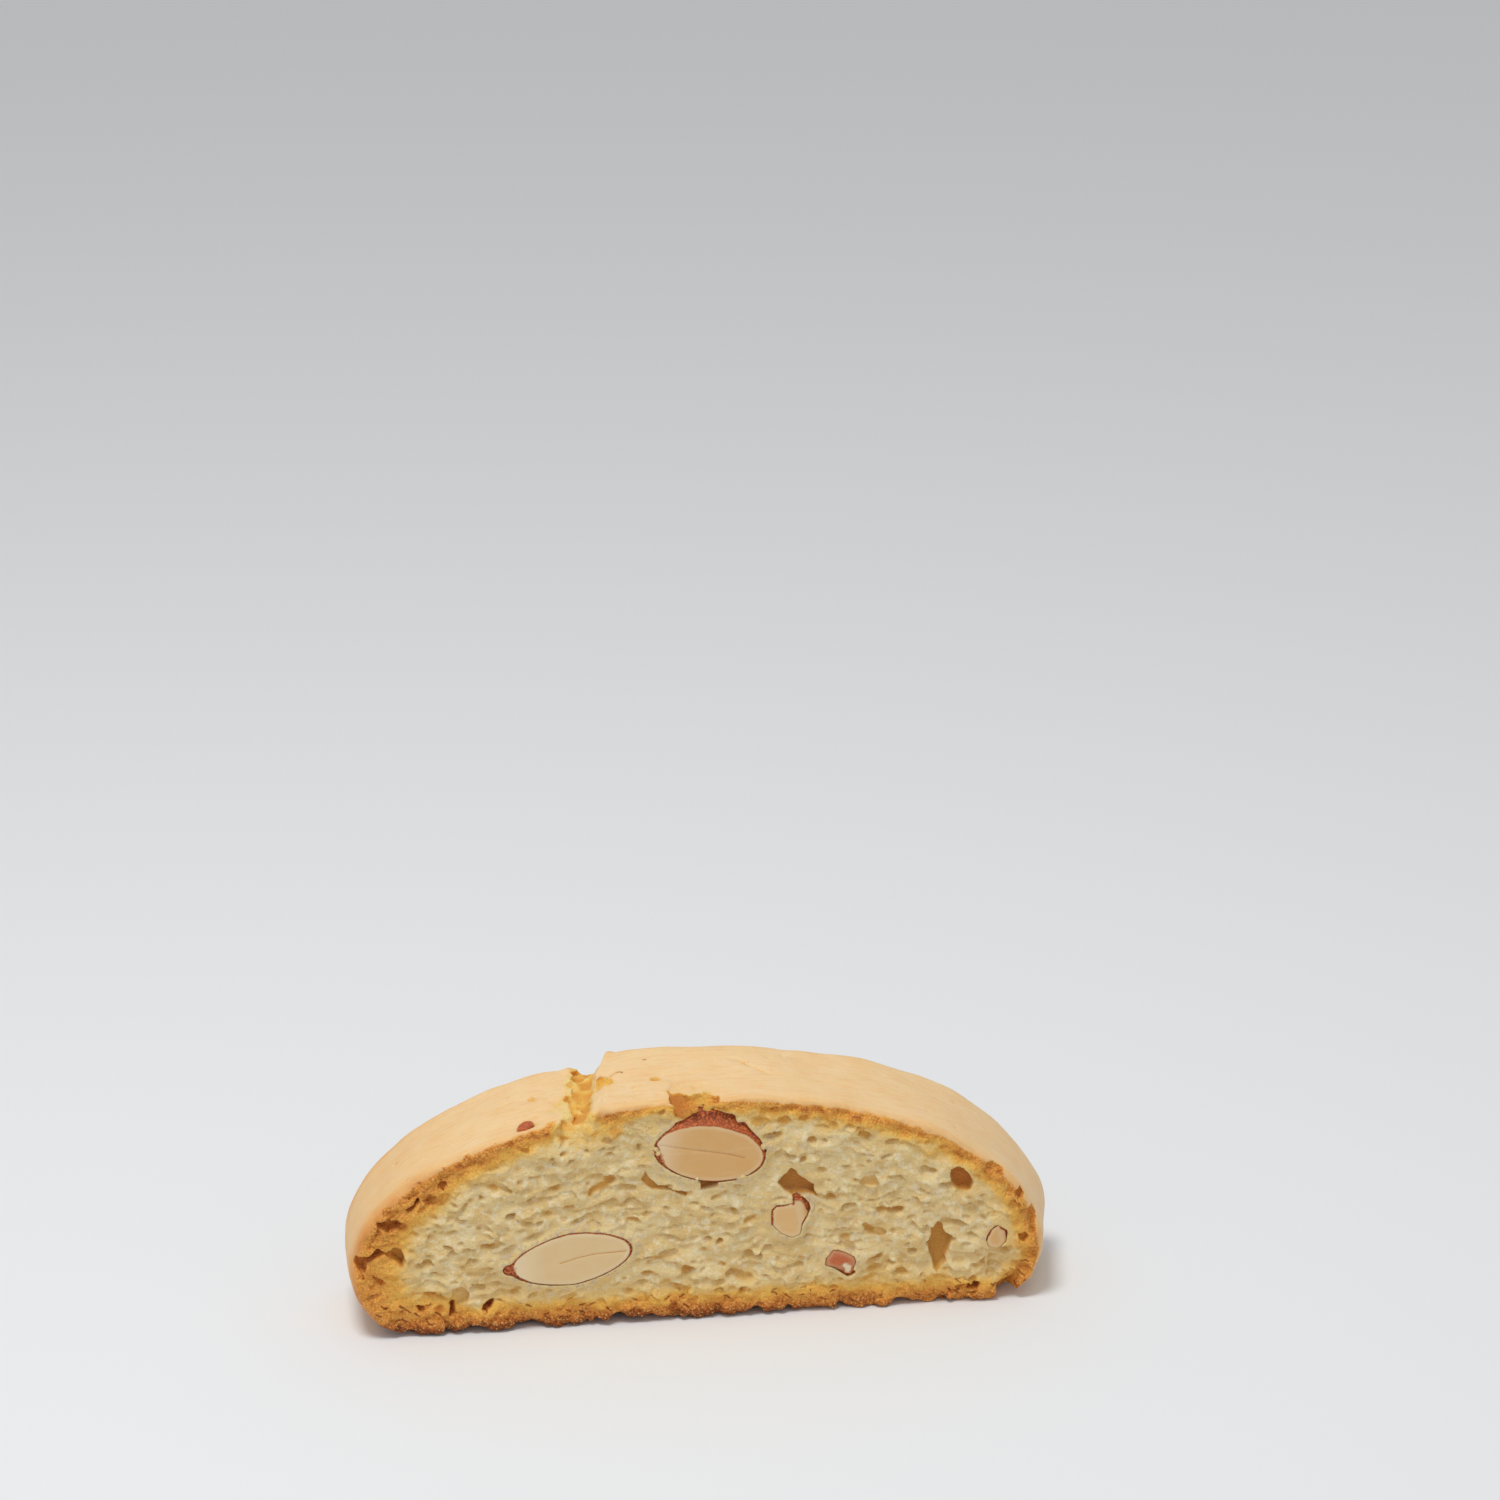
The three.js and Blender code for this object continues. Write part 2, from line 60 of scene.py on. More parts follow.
# ------------------------------------------------------------------ sizes, in millimetres

THICKNESS = 20.0
FACE = THICKNESS / 2
CREST_X = -1.7
CREST_HEIGHT = 38.0
DOME_POWER = 2.03
# The section at the front face and at the back one: half-lengths from the crest, crest height, and
# heights and reaches of the rounded bottom corners.
SECTION = {
    "left": (55.3, 55.0),
    "right": (54.2, 58.5),
    "top": (37.8, 39.1),
    "left_waist": (10.5, 9.5),
    "right_waist": (8.6, 6.2),
    "left_foot": (11.0, 10.0),
    "right_foot": (9.5, 8.0),
}

DOUGH_CELL = 0.2
DOUGH_TRIANGLES = 190_000
ALMOND_CELL = 0.15
CHIP_CELL = 0.11
ALMOND_TRIANGLES = 60_000
CHIP_TRIANGLES = 12_000
BAND = 10  # cells either side of a surface in which its distance is kept

FACES = ((-FACE, 21), (FACE, 31))  # the front and the back face, each with the seed of its crumb
LAYER = 1.9  # height of one layer of crumb
OVERHANG = math.radians(48)  # how much a bubble leans upwards as it goes in
# A hollow's wall is tinted brown, partly as browning and partly as painted shade.
BROWNED_AND_SHADED_WALL = 0.22  # how far the browning of a hollow reaches into the dough
# How many rows of small bubbles a face has, how many bubbles lie along its rim, and how far apart
# those of its base and the larger ones of the back face are.
CRUMB_ROWS = 25
RIM_BUBBLES = 46
BASE_SPACING = 1.25
BACK_SPACING = 5.2
# How many small pits the crust has, how many hollows its crack, and a hairline break's width and depth.
SMALL_PITS = 50
CRACK_HOLLOWS = 18
BREAK_SIZE = (0.34, 0.42)
# The crack across the crust: where it starts at the front, how far it drifts and swings towards the
# back, and how far its middle is from that line. Then where the right foot is creased.
CRACK_LINE = (-22.4, 5.0, 0.9)
CRACK_MIDDLE = 0.5
CREASE_X = 47.5
# Values along the slice: places, then how wide the toasted rim is, and how brown the rim and base are.
RIM_WIDTH = ((-57, -48, -38, -25, -8, 10, 33, 47, 56), (8, 7, 4.4, 2.8, 2.0, 2.6, 2.8, 3.6, 5))
RIM_BROWN = ((-57, -36, -20, -4, 40, 57), (0.8, 0.95, 1.02, 0.9, 0.9, 0.93))
BASE_BROWN = ((-57, 8, 26, 48), (0.88, 0.86, 0.62, 0.54))

# Bubbles that stand out on the front face, left to right: how browned they are inside, from 0 to 1,
# which is partly painted shade, how deep they go, and their outline along and up the face.
FRONT_HOLLOWS = (
    (0.95, 2.6, [
        (-56.3, 11.7), (-55.9, 13.4), (-54.6, 14.0), (-53.4, 14.6), (-52.6, 15.2), (-51.4, 14.3),
        (-53.2, 13.5), (-54.3, 13.0), (-54.6, 11.2), (-55.5, 11.0),
    ]),
    (0.5, 1.8, [(-54.0, 11.2), (-53.3, 10.4), (-52.2, 10.0), (-51.7, 9.3), (-52.3, 8.7), (-53.0, 9.2)]),
    (0.9, 2.3, [
        (-52.8, 19.3), (-51.2, 20.0), (-50.6, 19.5), (-49.4, 20.0), (-48.7, 18.6), (-49.9, 18.3),
        (-50.9, 17.8), (-51.5, 18.5), (-52.4, 18.4),
    ]),
    (0.7, 2.5, [
        (-51.6, 14.2), (-50.7, 14.7), (-49.9, 15.2), (-49.0, 14.8), (-48.2, 12.9), (-48.8, 11.6),
        (-49.9, 12.6), (-50.8, 13.5),
    ]),
    (1.0, 2.3, [
        (-48.3, 21.6), (-47.3, 22.0), (-46.6, 23.0), (-46.1, 23.7), (-45.9, 22.9), (-47.0, 21.5),
        (-47.8, 21.3),
    ]),
    (1.0, 2.3, [(-47.0, 5.2), (-45.7, 4.9), (-45.7, 4.2), (-46.4, 3.9)]),
    (0.75, 2.0, [
        (-45.8, 23.2), (-44.9, 23.2), (-44.2, 23.7), (-43.9, 23.1), (-43.1, 22.9), (-43.7, 22.2),
        (-44.7, 22.0), (-45.1, 22.6),
    ]),
    (0.3, 0.8, [(-44.8, 15.8), (-44.3, 16.4), (-43.5, 16.5), (-43.3, 15.9), (-43.9, 15.4)]),
    (0.75, 1.8, [(-43.2, 25.4), (-42.6, 25.9), (-41.9, 25.9), (-41.6, 25.3), (-42.1, 24.7), (-43.0, 24.8)]),
    (0.4, 1.5, [
        (-42.0, 5.0), (-41.2, 6.5), (-40.9, 7.3), (-40.0, 7.9), (-39.3, 7.3), (-38.3, 6.3),
        (-38.6, 5.2), (-40.9, 4.6),
    ]),
    (1.0, 2.4, [(-41.9, 2.8), (-41.6, 4.9), (-40.9, 5.0), (-41.0, 3.2)]),
    (0.35, 0.8, [(-41.8, 20.0), (-40.7, 20.7), (-40.2, 20.3), (-41.0, 19.4)]),
    (0.35, 0.8, [(-41.2, 12.8), (-40.3, 13.3), (-39.0, 13.9), (-38.2, 13.1), (-38.6, 12.4), (-40.5, 12.5)]),
    (0.45, 0.9, [(-39.9, 21.2), (-39.0, 22.3), (-38.6, 22.2), (-39.3, 20.9)]),
    (0.4, 0.9, [(-37.3, 17.9), (-36.5, 18.4), (-35.8, 18.2), (-34.8, 17.5), (-35.5, 17.3), (-36.7, 17.5)]),
    (0.35, 1.0, [
        (-37.0, 10.5), (-36.6, 10.9), (-35.4, 11.2), (-34.6, 10.9), (-35.2, 10.2), (-36.0, 9.6),
        (-36.7, 9.1), (-37.1, 9.6),
    ]),
    (1.0, 2.4, [
        (-36.6, 3.4), (-36.4, 4.3), (-35.4, 5.2), (-34.7, 5.5), (-34.7, 4.9), (-35.2, 3.9), (-36.0, 3.4),
    ]),
    (0.55, 0.9, [
        (-34.9, 25.6), (-34.3, 26.1), (-33.6, 25.1), (-32.6, 24.9), (-31.3, 23.7), (-32.0, 23.8),
        (-33.0, 24.2), (-34.2, 24.6),
    ]),
    (0.55, 0.8, [(-34.3, 16.1), (-33.7, 16.1), (-33.8, 15.4), (-33.9, 14.4), (-34.4, 14.4)]),
    (0.3, 0.7, [(-34.0, 16.8), (-33.2, 17.6), (-32.2, 17.8), (-32.2, 17.3), (-33.2, 16.9)]),
    (0.3, 0.7, [(-33.5, 21.5), (-32.8, 21.6), (-31.3, 21.1), (-32.2, 20.7)]),
    (0.45, 0.9, [(-33.0, 6.5), (-32.0, 7.1), (-31.0, 7.6), (-30.2, 7.3), (-31.0, 6.8), (-32.7, 6.0)]),
    (0.3, 0.8, [(-30.0, 24.2), (-29.2, 24.6), (-27.2, 23.9), (-28.2, 23.4), (-29.0, 23.8)]),
    (0.4, 0.9, [(-29.3, 31.4), (-28.2, 32.0), (-26.5, 31.8), (-25.5, 31.2), (-26.8, 30.8), (-28.6, 30.9)]),
    (0.8, 1.6, [
        (-24.3, 33.8), (-23.2, 34.0), (-22.0, 33.5), (-21.6, 32.9), (-22.4, 31.5), (-23.6, 31.4),
        (-24.3, 32.0),
    ]),
    (0.3, 0.8, [(-22.8, 25.2), (-22.2, 26.1), (-21.3, 26.0), (-21.4, 25.5), (-22.0, 24.9)]),
    (0.3, 0.8, [(-19.9, 27.8), (-19.2, 28.5), (-18.4, 28.4), (-18.0, 27.8), (-18.9, 27.3)]),
    (0.6, 1.2, [
        (-19.8, 22.0), (-19.5, 23.0), (-18.9, 23.6), (-17.8, 23.9), (-16.9, 24.5), (-16.3, 25.7),
        (-15.4, 24.7), (-15.9, 24.0), (-17.2, 23.4), (-18.9, 22.6), (-19.3, 21.9),
    ]),
    (0.35, 0.9, [(-15.2, 30.3), (-14.6, 30.9), (-13.6, 30.8), (-13.2, 30.2), (-13.8, 29.6), (-14.8, 29.6)]),
    (0.3, 0.6, [(-14.9, 21.4), (-14.2, 21.8), (-12.9, 21.8), (-12.1, 21.3), (-12.9, 21.0)]),
    (0.4, 0.8, [(-14.5, 34.3), (-13.7, 34.7), (-12.8, 34.6), (-12.6, 33.9), (-13.4, 33.3)]),
    (0.35, 0.8, [(-13.7, 24.4), (-13.2, 25.0), (-11.2, 25.5), (-10.4, 25.1), (-11.3, 24.2), (-12.7, 24.3)]),
    (0.75, 1.3, [
        (-11.3, 24.3), (-10.6, 25.2), (-10.2, 24.5), (-8.6, 23.1), (-7.4, 22.6), (-5.0, 22.2),
        (-4.0, 21.3), (-4.3, 21.0), (-6.4, 22.2), (-8.2, 22.7), (-9.5, 22.7), (-10.3, 23.1),
    ]),
    (1.0, 0.8, [(-6.1, 36.2), (-5.5, 36.2), (-5.4, 35.6), (-6.0, 35.5)]),
    (0.65, 1.6, [(-2.6, 24.6), (-2.0, 23.4), (-2.1, 22.4), (-1.2, 22.3), (0.6, 23.0), (0.5, 24.4)]),
    (0.3, 0.8, [(1.0, 18.7), (1.8, 19.1), (2.8, 19.0), (2.8, 18.2), (1.8, 18.0)]),
    (0.3, 0.8, [(4.2, 19.0), (5.5, 19.3), (6.0, 18.6), (5.2, 18.0), (4.3, 18.2)]),
    (0.35, 0.8, [(5.0, 34.0), (6.2, 34.8), (6.8, 34.6), (6.2, 34.0), (5.5, 33.7)]),
    (0.75, 2.0, [
        (10.1, 22.5), (11.2, 23.7), (12.3, 24.7), (12.9, 24.1), (13.2, 23.3), (14.3, 22.6),
        (16.0, 21.5), (16.0, 20.6), (16.7, 19.4), (15.8, 20.1), (14.6, 20.4), (12.4, 20.3),
        (11.2, 20.9), (10.9, 21.6),
    ]),
    (0.3, 0.8, [(18.3, 24.5), (19.0, 25.3), (19.5, 24.8), (19.3, 23.9), (18.6, 23.9)]),
    (0.25, 0.8, [(19.5, 15.2), (20.9, 16.0), (21.3, 15.3), (20.2, 14.7)]),
    (0.4, 1.0, [(19.7, 11.4), (20.5, 11.8), (22.0, 11.5), (22.6, 10.6), (22.3, 9.9), (21.0, 10.6)]),
    (0.3, 0.8, [(20.3, 17.2), (20.6, 17.9), (21.6, 18.2), (22.2, 17.8), (21.4, 17.0)]),
    (0.5, 1.0, [(23.2, 21.1), (23.3, 22.3), (23.8, 22.6), (25.5, 22.5), (26.4, 21.2), (26.2, 20.8)]),
    (0.55, 1.1, [
        (23.5, 14.2), (24.1, 14.6), (25.2, 13.9), (27.0, 13.3), (27.6, 12.7), (27.4, 12.2),
        (26.3, 12.3), (24.5, 13.0),
    ]),
    (0.3, 0.7, [(26.1, 17.9), (26.8, 18.6), (27.4, 18.2), (27.0, 17.7)]),
    (0.4, 1.0, [(27.2, 8.7), (27.9, 8.7), (28.1, 7.8), (27.6, 6.4), (27.1, 6.0), (26.6, 6.9)]),
    (0.3, 0.8, [(29.3, 21.8), (30.1, 22.0), (30.5, 21.2), (30.3, 20.2), (29.7, 20.6)]),
    (0.45, 1.0, [(29.6, 8.9), (30.4, 9.0), (31.0, 8.0), (30.4, 7.0), (29.3, 7.3)]),
    (0.35, 0.9, [(32.6, 22.8), (33.5, 23.8), (34.3, 23.0), (34.1, 22.6)]),
    (0.3, 0.7, [(33.8, 16.8), (34.5, 17.3), (35.1, 17.0), (34.6, 16.5)]),
    (0.6, 2.0, [
        (35.1, 13.4), (35.7, 13.8), (36.4, 13.2), (36.3, 12.4), (37.3, 11.8), (38.2, 11.3),
        (37.7, 10.2), (37.6, 8.9), (36.9, 7.6), (37.2, 6.9), (36.1, 5.9), (35.6, 5.3), (35.1, 5.9),
        (34.9, 7.3), (34.4, 8.3), (34.3, 9.8), (33.7, 10.6), (34.5, 11.2), (34.7, 12.9),
    ]),
    (0.6, 0.7, [(36.3, 17.4), (37.0, 17.1), (37.5, 16.5), (37.3, 16.2), (36.7, 16.4)]),
    (0.9, 1.8, [
        (37.7, 22.6), (37.9, 23.2), (38.6, 23.5), (39.6, 23.3), (40.2, 22.4), (40.9, 21.3),
        (41.2, 20.4), (40.9, 19.4), (40.1, 19.2), (38.9, 19.4), (38.1, 20.2), (37.8, 21.3),
    ]),
    (1.0, 2.2, [(40.4, 1.9), (41.8, 3.2), (42.8, 2.9), (42.2, 1.8)]),
    (0.55, 1.2, [
        (42.6, 6.3), (43.3, 7.2), (44.4, 8.1), (44.9, 8.0), (45.2, 6.9), (44.9, 4.8), (44.0, 5.6),
    ]),
    (0.5, 0.7, [(43.2, 14.7), (43.8, 15.4), (44.4, 15.2), (44.4, 14.6)]),
    (0.4, 1.8, [(42.5, 22.5), (43.6, 23.3), (46.8, 23.2), (46.1, 22.0), (44.2, 21.8)]),
    (0.5, 1.8, [(47.9, 18.2), (48.8, 18.9), (49.5, 17.8), (48.7, 17.0)]),
    (0.5, 1.8, [(48.6, 11.0), (49.6, 11.4), (50.4, 10.6), (49.6, 9.4), (48.8, 9.8)]),
    (0.6, 2.0, [(50.2, 14.8), (51.4, 15.4), (51.8, 13.4), (51.0, 12.0), (50.0, 13.0)]),
)
# Pits in the crust, seen from above: centre along and across, width, reach across, how browned, which is
# partly painted shade.
CRUST_PITS = ((-16.3, 0.0, 2.8, 3.6, 0.45), (-27.3, 0.8, 1.5, 1.8, 0.3), (-8.0, -1.2, 1.6, 1.4, 0.35))
# The whole almonds cut by the front face: half is half their size along, in and up, slope is in
# degrees, and blunt is for the left and right ends: 2 is round, less is pointed.
KERNELS = {
    "almond_upper": {
        "middle": (-0.75, -6.4, 28.75), "half": (10.4, 6.5, 5.6), "slope": -10, "blunt": (1.85, 2.0),
    },
    "almond_lower": {
        "middle": (-22.6, -7.2, 12.0), "half": (11.4, 5.5, 5.0), "slope": 8, "blunt": (1.4, 1.6),
    },
}
# How far the upper almond's skin stands out behind its cut, by the angle round it in radians.
SKIN_REACH = ((-0.6, 0.1, 0.8, 1.6, 2.4, 3.1), (0, 0.4, 1.2, 1.7, 0.8, 0.1))
# The stalk end of the lower almond, which is all skin: centre and radius.
KNOB = ((-32.5, -9.6, 10.75), 0.75)
CHIP_DEPTH = 2.8  # how far a chip of the front face reaches in
WHOLE_ALMOND = 8.0  # an almond piece longer than this is a whole one, and is meshed as such
# Where the dough leaves the upper almond open to the front and above: along and up the face.
ALMOND_SHOWN = [
    (-9.4, 30.2), (-9.0, 31.2), (-7.8, 32.7), (-6.1, 34.0), (-3.9, 35.2), (-2.5, 36.2), (0.1, 36.0),
    (3.2, 35.2), (3.7, 33.8), (4.9, 33.6), (6.3, 31.8), (7.7, 29.6), (8.3, 28.6), (0.0, 26.0),
]
# The blister torn open above it, and the thinner crust behind that, seen from above: along, across.
TEAR = [
    (-6.6, -5.8), (-6.4, -8.9), (-5.2, -10.0), (-5.2, -11.0), (-2.3, -11.0), (-2.2, -9.8), (0.6, -9.0),
    (1.0, -8.0), (-0.5, -7.1), (-2.2, -6.9), (-3.6, -7.5), (-5.0, -6.6),
]
WORN = [
    (-6.5, -6.0), (-5.5, -2.2), (-2.0, -3.0), (1.6, -5.6), (1.0, -8.0), (-0.5, -7.1), (-2.2, -6.9),
    (-3.6, -7.5), (-5.0, -6.6),
]
# The crumb in the open blister, and those left on the upper almond's edge: centre and radius.
BLISTER_CRUMB = ((-3.0, -9.2, 36.1), 0.7)
ALMOND_CRUMBS = (
    ((-9.05, -9.9, 30.0), 0.4), ((-8.8, -9.9, 29.3), 0.42), ((7.8, -9.8, 29.3), 0.5),
    ((3.9, -9.9, 24.2), 0.34), ((4.6, -9.9, 24.5), 0.38), ((-2.6, -9.9, 24.6), 0.35),
)
# Chips on the front face: outline along and up it, then a ridge beyond which the chip's face falls
# back, as a point of it, the way it falls in degrees, and how steeply.
CHIPS = {
    "almond_chip_middle": (
        [
            (9.1, 15.9), (9.1, 18.3), (9.8, 19.1), (12.5, 19.2), (12.5, 20.3), (13.3, 20.5), (14.3, 20.1),
            (15.0, 19.2), (15.3, 18.2), (14.7, 16.6), (14.0, 15.5), (13.7, 13.9), (12.3, 13.4),
            (10.6, 14.2),
        ],
        (12.5, 19.1, 10, 0.3),
    ),
    "almond_chip_red": (
        [
            (17.7, 8.2), (17.8, 9.4), (18.3, 9.9), (18.9, 10.8), (19.9, 10.6), (21.3, 10.0), (22.3, 9.3),
            (22.5, 8.4), (22.1, 7.1), (22.6, 6.7), (21.9, 6.1), (21.3, 5.9), (20.0, 6.9), (19.0, 7.7),
        ],
        (20.4, 8.3, -90, 0.35),
    ),
    "almond_chip_right": (
        [
            (43.4, 10.8), (43.5, 11.5), (44.2, 12.7), (45.1, 13.4), (45.8, 12.9), (46.7, 12.3),
            (46.8, 11.7), (46.6, 10.2), (45.2, 9.3), (43.8, 9.7),
        ],
        (45.0, 13.1, 9, 0.35),
    ),
}
# What shows on the almond pieces' cuts. skin, pale, dark and seam are lines through points of the
# face, each with its reach to either side. tone runs from cream at 0 to tan at 1. husk is 1 for a
# chip that is all skin, and red how red that skin is. edge is how far the skin shows inside the
# outline of a whole almond, and how far at its left end.
LOOKS = {
    "almond_upper": {
        "tone": 0.74,
        "edge": (0.06, 1.0),
        "seam": ((0.26, ((-8.5, 30.6), (-5.7, 30.0), (-1.0, 29.1), (2.4, 28.4), (4.9, 27.6))),),
    },
    "almond_lower": {
        "tone": 0.2,
        "edge": (0.04, 0.3),
        "seam": ((0.22, ((-24.3, 11.4), (-21.5, 12.2), (-18.9, 12.7), (-13.9, 12.9))),),
        "skin": ((1.0, ((-33.0, 10.6), (-32.3, 10.8))),),
    },
    "almond_chip_middle": {
        "tone": 0.6,
        "skin": (
            (0.26, ((9.1, 15.9), (9.1, 18.3), (9.8, 19.1), (11.7, 19.2))),
            (0.75, ((12.9, 20.3), (14.2, 20.0), (15.0, 19.1), (15.2, 18.1))),
            (0.18, ((12.5, 20.2), (12.5, 19.2))),
            (0.24, ((14.7, 16.6), (14.0, 15.5))),
        ),
    },
    "almond_chip_red": {
        "husk": 1.0,
        "red": 0.8,
        "pale": ((0.6, ((20.9, 8.0), (21.4, 7.6), (21.3, 6.9))),),
        # Painted shade in part: the dark strokes along the chip's left and lower-left edge darken its side
        # that lies in shade.
        "dark": (
            (0.35, ((21.4, 6.1), (22.5, 6.6))),
            (0.3, ((17.7, 8.3), (17.9, 9.4))),
            (0.4, ((18.4, 7.9), (20.4, 6.8))),
            (0.2, ((22.5, 8.3), (22.3, 9.3))),
        ),
    },
    "almond_chip_right": {
        "tone": 0.75,
        "skin": (
            (0.22, ((43.4, 10.8), (43.5, 11.5), (44.2, 12.7), (45.1, 13.4))),
            (0.32, ((45.8, 12.9), (46.7, 12.3), (46.8, 11.2))),
        ),
    },
    "almond_chip_crust": {
        "husk": 1.0,
        "red": 0.5,
        "pale": ((0.35, ((-30.6, 34.2), (-30.3, 34.4))),),
    },
    "almond_chip_back": {"tone": 0.5, "skin": ((0.25, ((-8.5, 14.0), (-6.5, 15.0))),)},
    "almond_chip_back_end": {"tone": 0.3, "skin": ((0.25, ((39.0, 12.5), (41.0, 13.0))),)},
}
# Hairline breaks in the crust: points along and across.
CRUST_BREAKS = (
    ((-32.6, 0.3), (-30.4, 1.0), (-28.1, 0.6), (-26.4, 1.0), (-24.8, -1.2), (-23.2, -3.4)),
    ((-29.2, -8.2), (-27.6, -6.6), (-25.9, -6.9), (-24.2, -5.2)),
    ((-15.2, 1.2), (-13.4, 2.4), (-12.6, 1.8)),
    ((4.4, 3.9), (6.3, 2.4), (8.2, 0.4), (10.0, -2.0)),
    ((-11.8, -3.6), (-9.8, -2.6)),
    ((14.2, -4.2), (16.0, -4.6)),
)

# ------------------------------------------------------------------ numbers and blocks of numbers


def ramp(values, start, end):
    """0 at start to 1 at end, eased at both."""
    t = np.clip((values - start) / (end - start), 0, 1)
    return t * t * (3 - 2 * t)


def smooth_max(a, b, width):
    """The larger of two distances, with the corner between them rounded over a width."""
    share = np.clip(0.5 + 0.5 * (a - b) / width, 0, 1)
    return b + (a - b) * share + width * share * (1 - share)


def spline_taps(t):
    """The four weights of a cubic B-spline at a share t of the way between two lattice values."""
    inner = (3 * t**3 - 6 * t**2 + 4) / 6
    return (1 - t) ** 3 / 6, inner, (-3 * t**3 + 3 * t**2 + 3 * t + 1) / 6, t**3 / 6


def noise_2d(u, v, seed):
    """Smooth noise, about -1 to 1, at places given in lattice steps."""
    side = 128
    table = random_from(seed).uniform(-1.9, 1.9, (side, side))
    i, j = np.floor(u).astype(int), np.floor(v).astype(int)
    columns, rows = spline_taps(u - i), spline_taps(v - j)
    total = 0.0
    for a in range(4):
        for b in range(4):
            total = total + columns[a] * rows[b] * table[(i + a) % side, (j + b) % side]
    return total


class Block:
    """A box of cells. Arrays in its shape hold distances to a surface, negative inside, or tints."""

    def __init__(self, first, shape, cell):
        self.first = np.array(first)
        self.shape = tuple(int(n) for n in shape)
        self.cell = cell
        self.low = self.first * cell
        self.far = BAND * cell

    @classmethod
    def around(cls, low, high, cell):
        """The block whose cells reach from one corner to another, in millimetres."""
        first = np.floor(np.array(low) / cell).astype(int)
        return cls(first, np.ceil(np.array(high) / cell).astype(int) - first + 1, cell)

    def part(self, window):
        first = [start + piece.start for start, piece in zip(self.first, window)]
        return Block(first, [piece.stop - piece.start for piece in window], self.cell)

    def line(self, axis):
        return (self.low[axis] + self.cell * np.arange(self.shape[axis])).astype(np.float32)

    def axes(self):
        """x, y and z, shaped so that they broadcast over the block."""
        return self.line(0)[:, None, None], self.line(1)[None, :, None], self.line(2)[None, None, :]

    def window(self, low, high):
        """The slices of the block between two corners, or None outside it."""
        first = np.maximum(np.floor((np.array(low) - self.low) / self.cell).astype(int), 0)
        last = np.minimum(np.ceil((np.array(high) - self.low) / self.cell).astype(int) + 1, self.shape)
        return None if (last <= first).any() else tuple(slice(a, b) for a, b in zip(first, last))

    def noise(self, steps, seed):
        """Smooth noise over the block, about -1 to 1, with lattice steps along x, y and z."""
        steps = (steps,) * 3 if np.isscalar(steps) else steps
        weights = []
        for axis, step in enumerate(steps):
            place = np.arange(self.shape[axis]) * self.cell / step
            base = np.floor(place).astype(int)
            table = np.zeros((len(place), base.max() + 4), np.float32)
            for offset, tap in enumerate(spline_taps(place - base)):
                table[np.arange(len(place)), base + offset] = tap
            weights.append(table)
        values = random_from(seed).uniform(-1.9, 1.9, [w.shape[1] for w in weights])
        values = values.astype(np.float32)
        for axis in range(3):
            values = np.moveaxis(np.tensordot(weights[axis], values, axes=(1, axis)), 0, axis)
        return np.ascontiguousarray(values)

    def blur(self, values, sigma, along=(0, 1, 2)):
        """Gaussian blur along the given axes, sigma in millimetres."""
        reach = max(1, math.ceil(2.5 * sigma / self.cell))
        taps = np.exp(-0.5 * (np.arange(-reach, reach + 1) * self.cell / sigma) ** 2)
        taps = (taps / taps.sum()).astype(np.float32)
        for axis in along:
            padding = [(0, 0)] * 3
            padding[axis] = (reach, reach)
            padded = np.pad(values, padding, mode="edge")
            values = np.zeros_like(values)
            for k, tap in enumerate(taps):
                window = [slice(None)] * 3
                window[axis] = slice(k, k + values.shape[axis])
                values += tap * padded[tuple(window)]
        return values

    def at(self, values, points):
        """Values at points in millimetres, by straight-line interpolation."""
        place = (points - self.low) / self.cell
        base = np.clip(np.floor(place).astype(int), 0, np.array(self.shape) - 2)
        t = np.clip(place - base, 0, 1)
        found = np.zeros(len(points))
        for corner in np.ndindex(2, 2, 2):
            i, j, k = (base + corner).T
            found += np.prod(np.where(corner, t, 1 - t), axis=1) * values[i, j, k]
        return found

    def distances(self, node):
        """Distance to a CAD node's surface at each cell, up to self.far."""
        mesh = bpy.data.objects[node].data
        mesh.calc_loop_triangles()
        vertices = np.empty(len(mesh.vertices) * 3, np.float32)
        mesh.vertices.foreach_get("co", vertices)
        corners = np.empty(len(mesh.loop_triangles) * 3, np.int32)
        mesh.loop_triangles.foreach_get("vertices", corners)
        grid = openvdb.FloatGrid.createLevelSetFromPolygons(
            vertices.reshape(-1, 3) / MM,
            triangles=corners.reshape(-1, 3).astype(np.uint32),
            transform=openvdb.createLinearTransform(voxelSize=self.cell),
            halfWidth=float(BAND),
        )
        values = np.empty(self.shape, np.float32)
        grid.copyToArray(values, ijk=tuple(int(n) for n in self.first))
        return values

    def surface(self, values):
        """The points and faces of the zero surface's largest piece."""
        grid = openvdb.FloatGrid(self.far)
        grid.copyFromArray(values, ijk=tuple(int(n) for n in self.first))
        grid.transform = openvdb.createLinearTransform(voxelSize=self.cell)
        points, _, quads = grid.convertToPolygons(isovalue=0.0, adaptivity=0.0)
        faces = np.asarray(quads, np.int64)[:, ::-1]
        label = joined_label(len(points), faces)
        faces = faces[label[faces[:, 0]] == np.bincount(label).argmax()]
        used, faces = np.unique(faces, return_inverse=True)
        return np.asarray(points)[used], faces.reshape(-1, 4)


def joined_label(count, faces):
    """For each point, the lowest number of a point that faces join it to."""
    ends = np.concatenate([faces[:, [0, 1]], faces[:, [1, 2]], faces[:, [2, 3]]])
    label = np.arange(count)
    while True:
        lower = np.minimum(label[ends[:, 0]], label[ends[:, 1]])
        new = label.copy()
        np.minimum.at(new, ends[:, 0], lower)
        np.minimum.at(new, ends[:, 1], lower)
        new = new[new]
        if (new == label).all():
            return label
        label = new


# ------------------------------------------------------------------ meshes


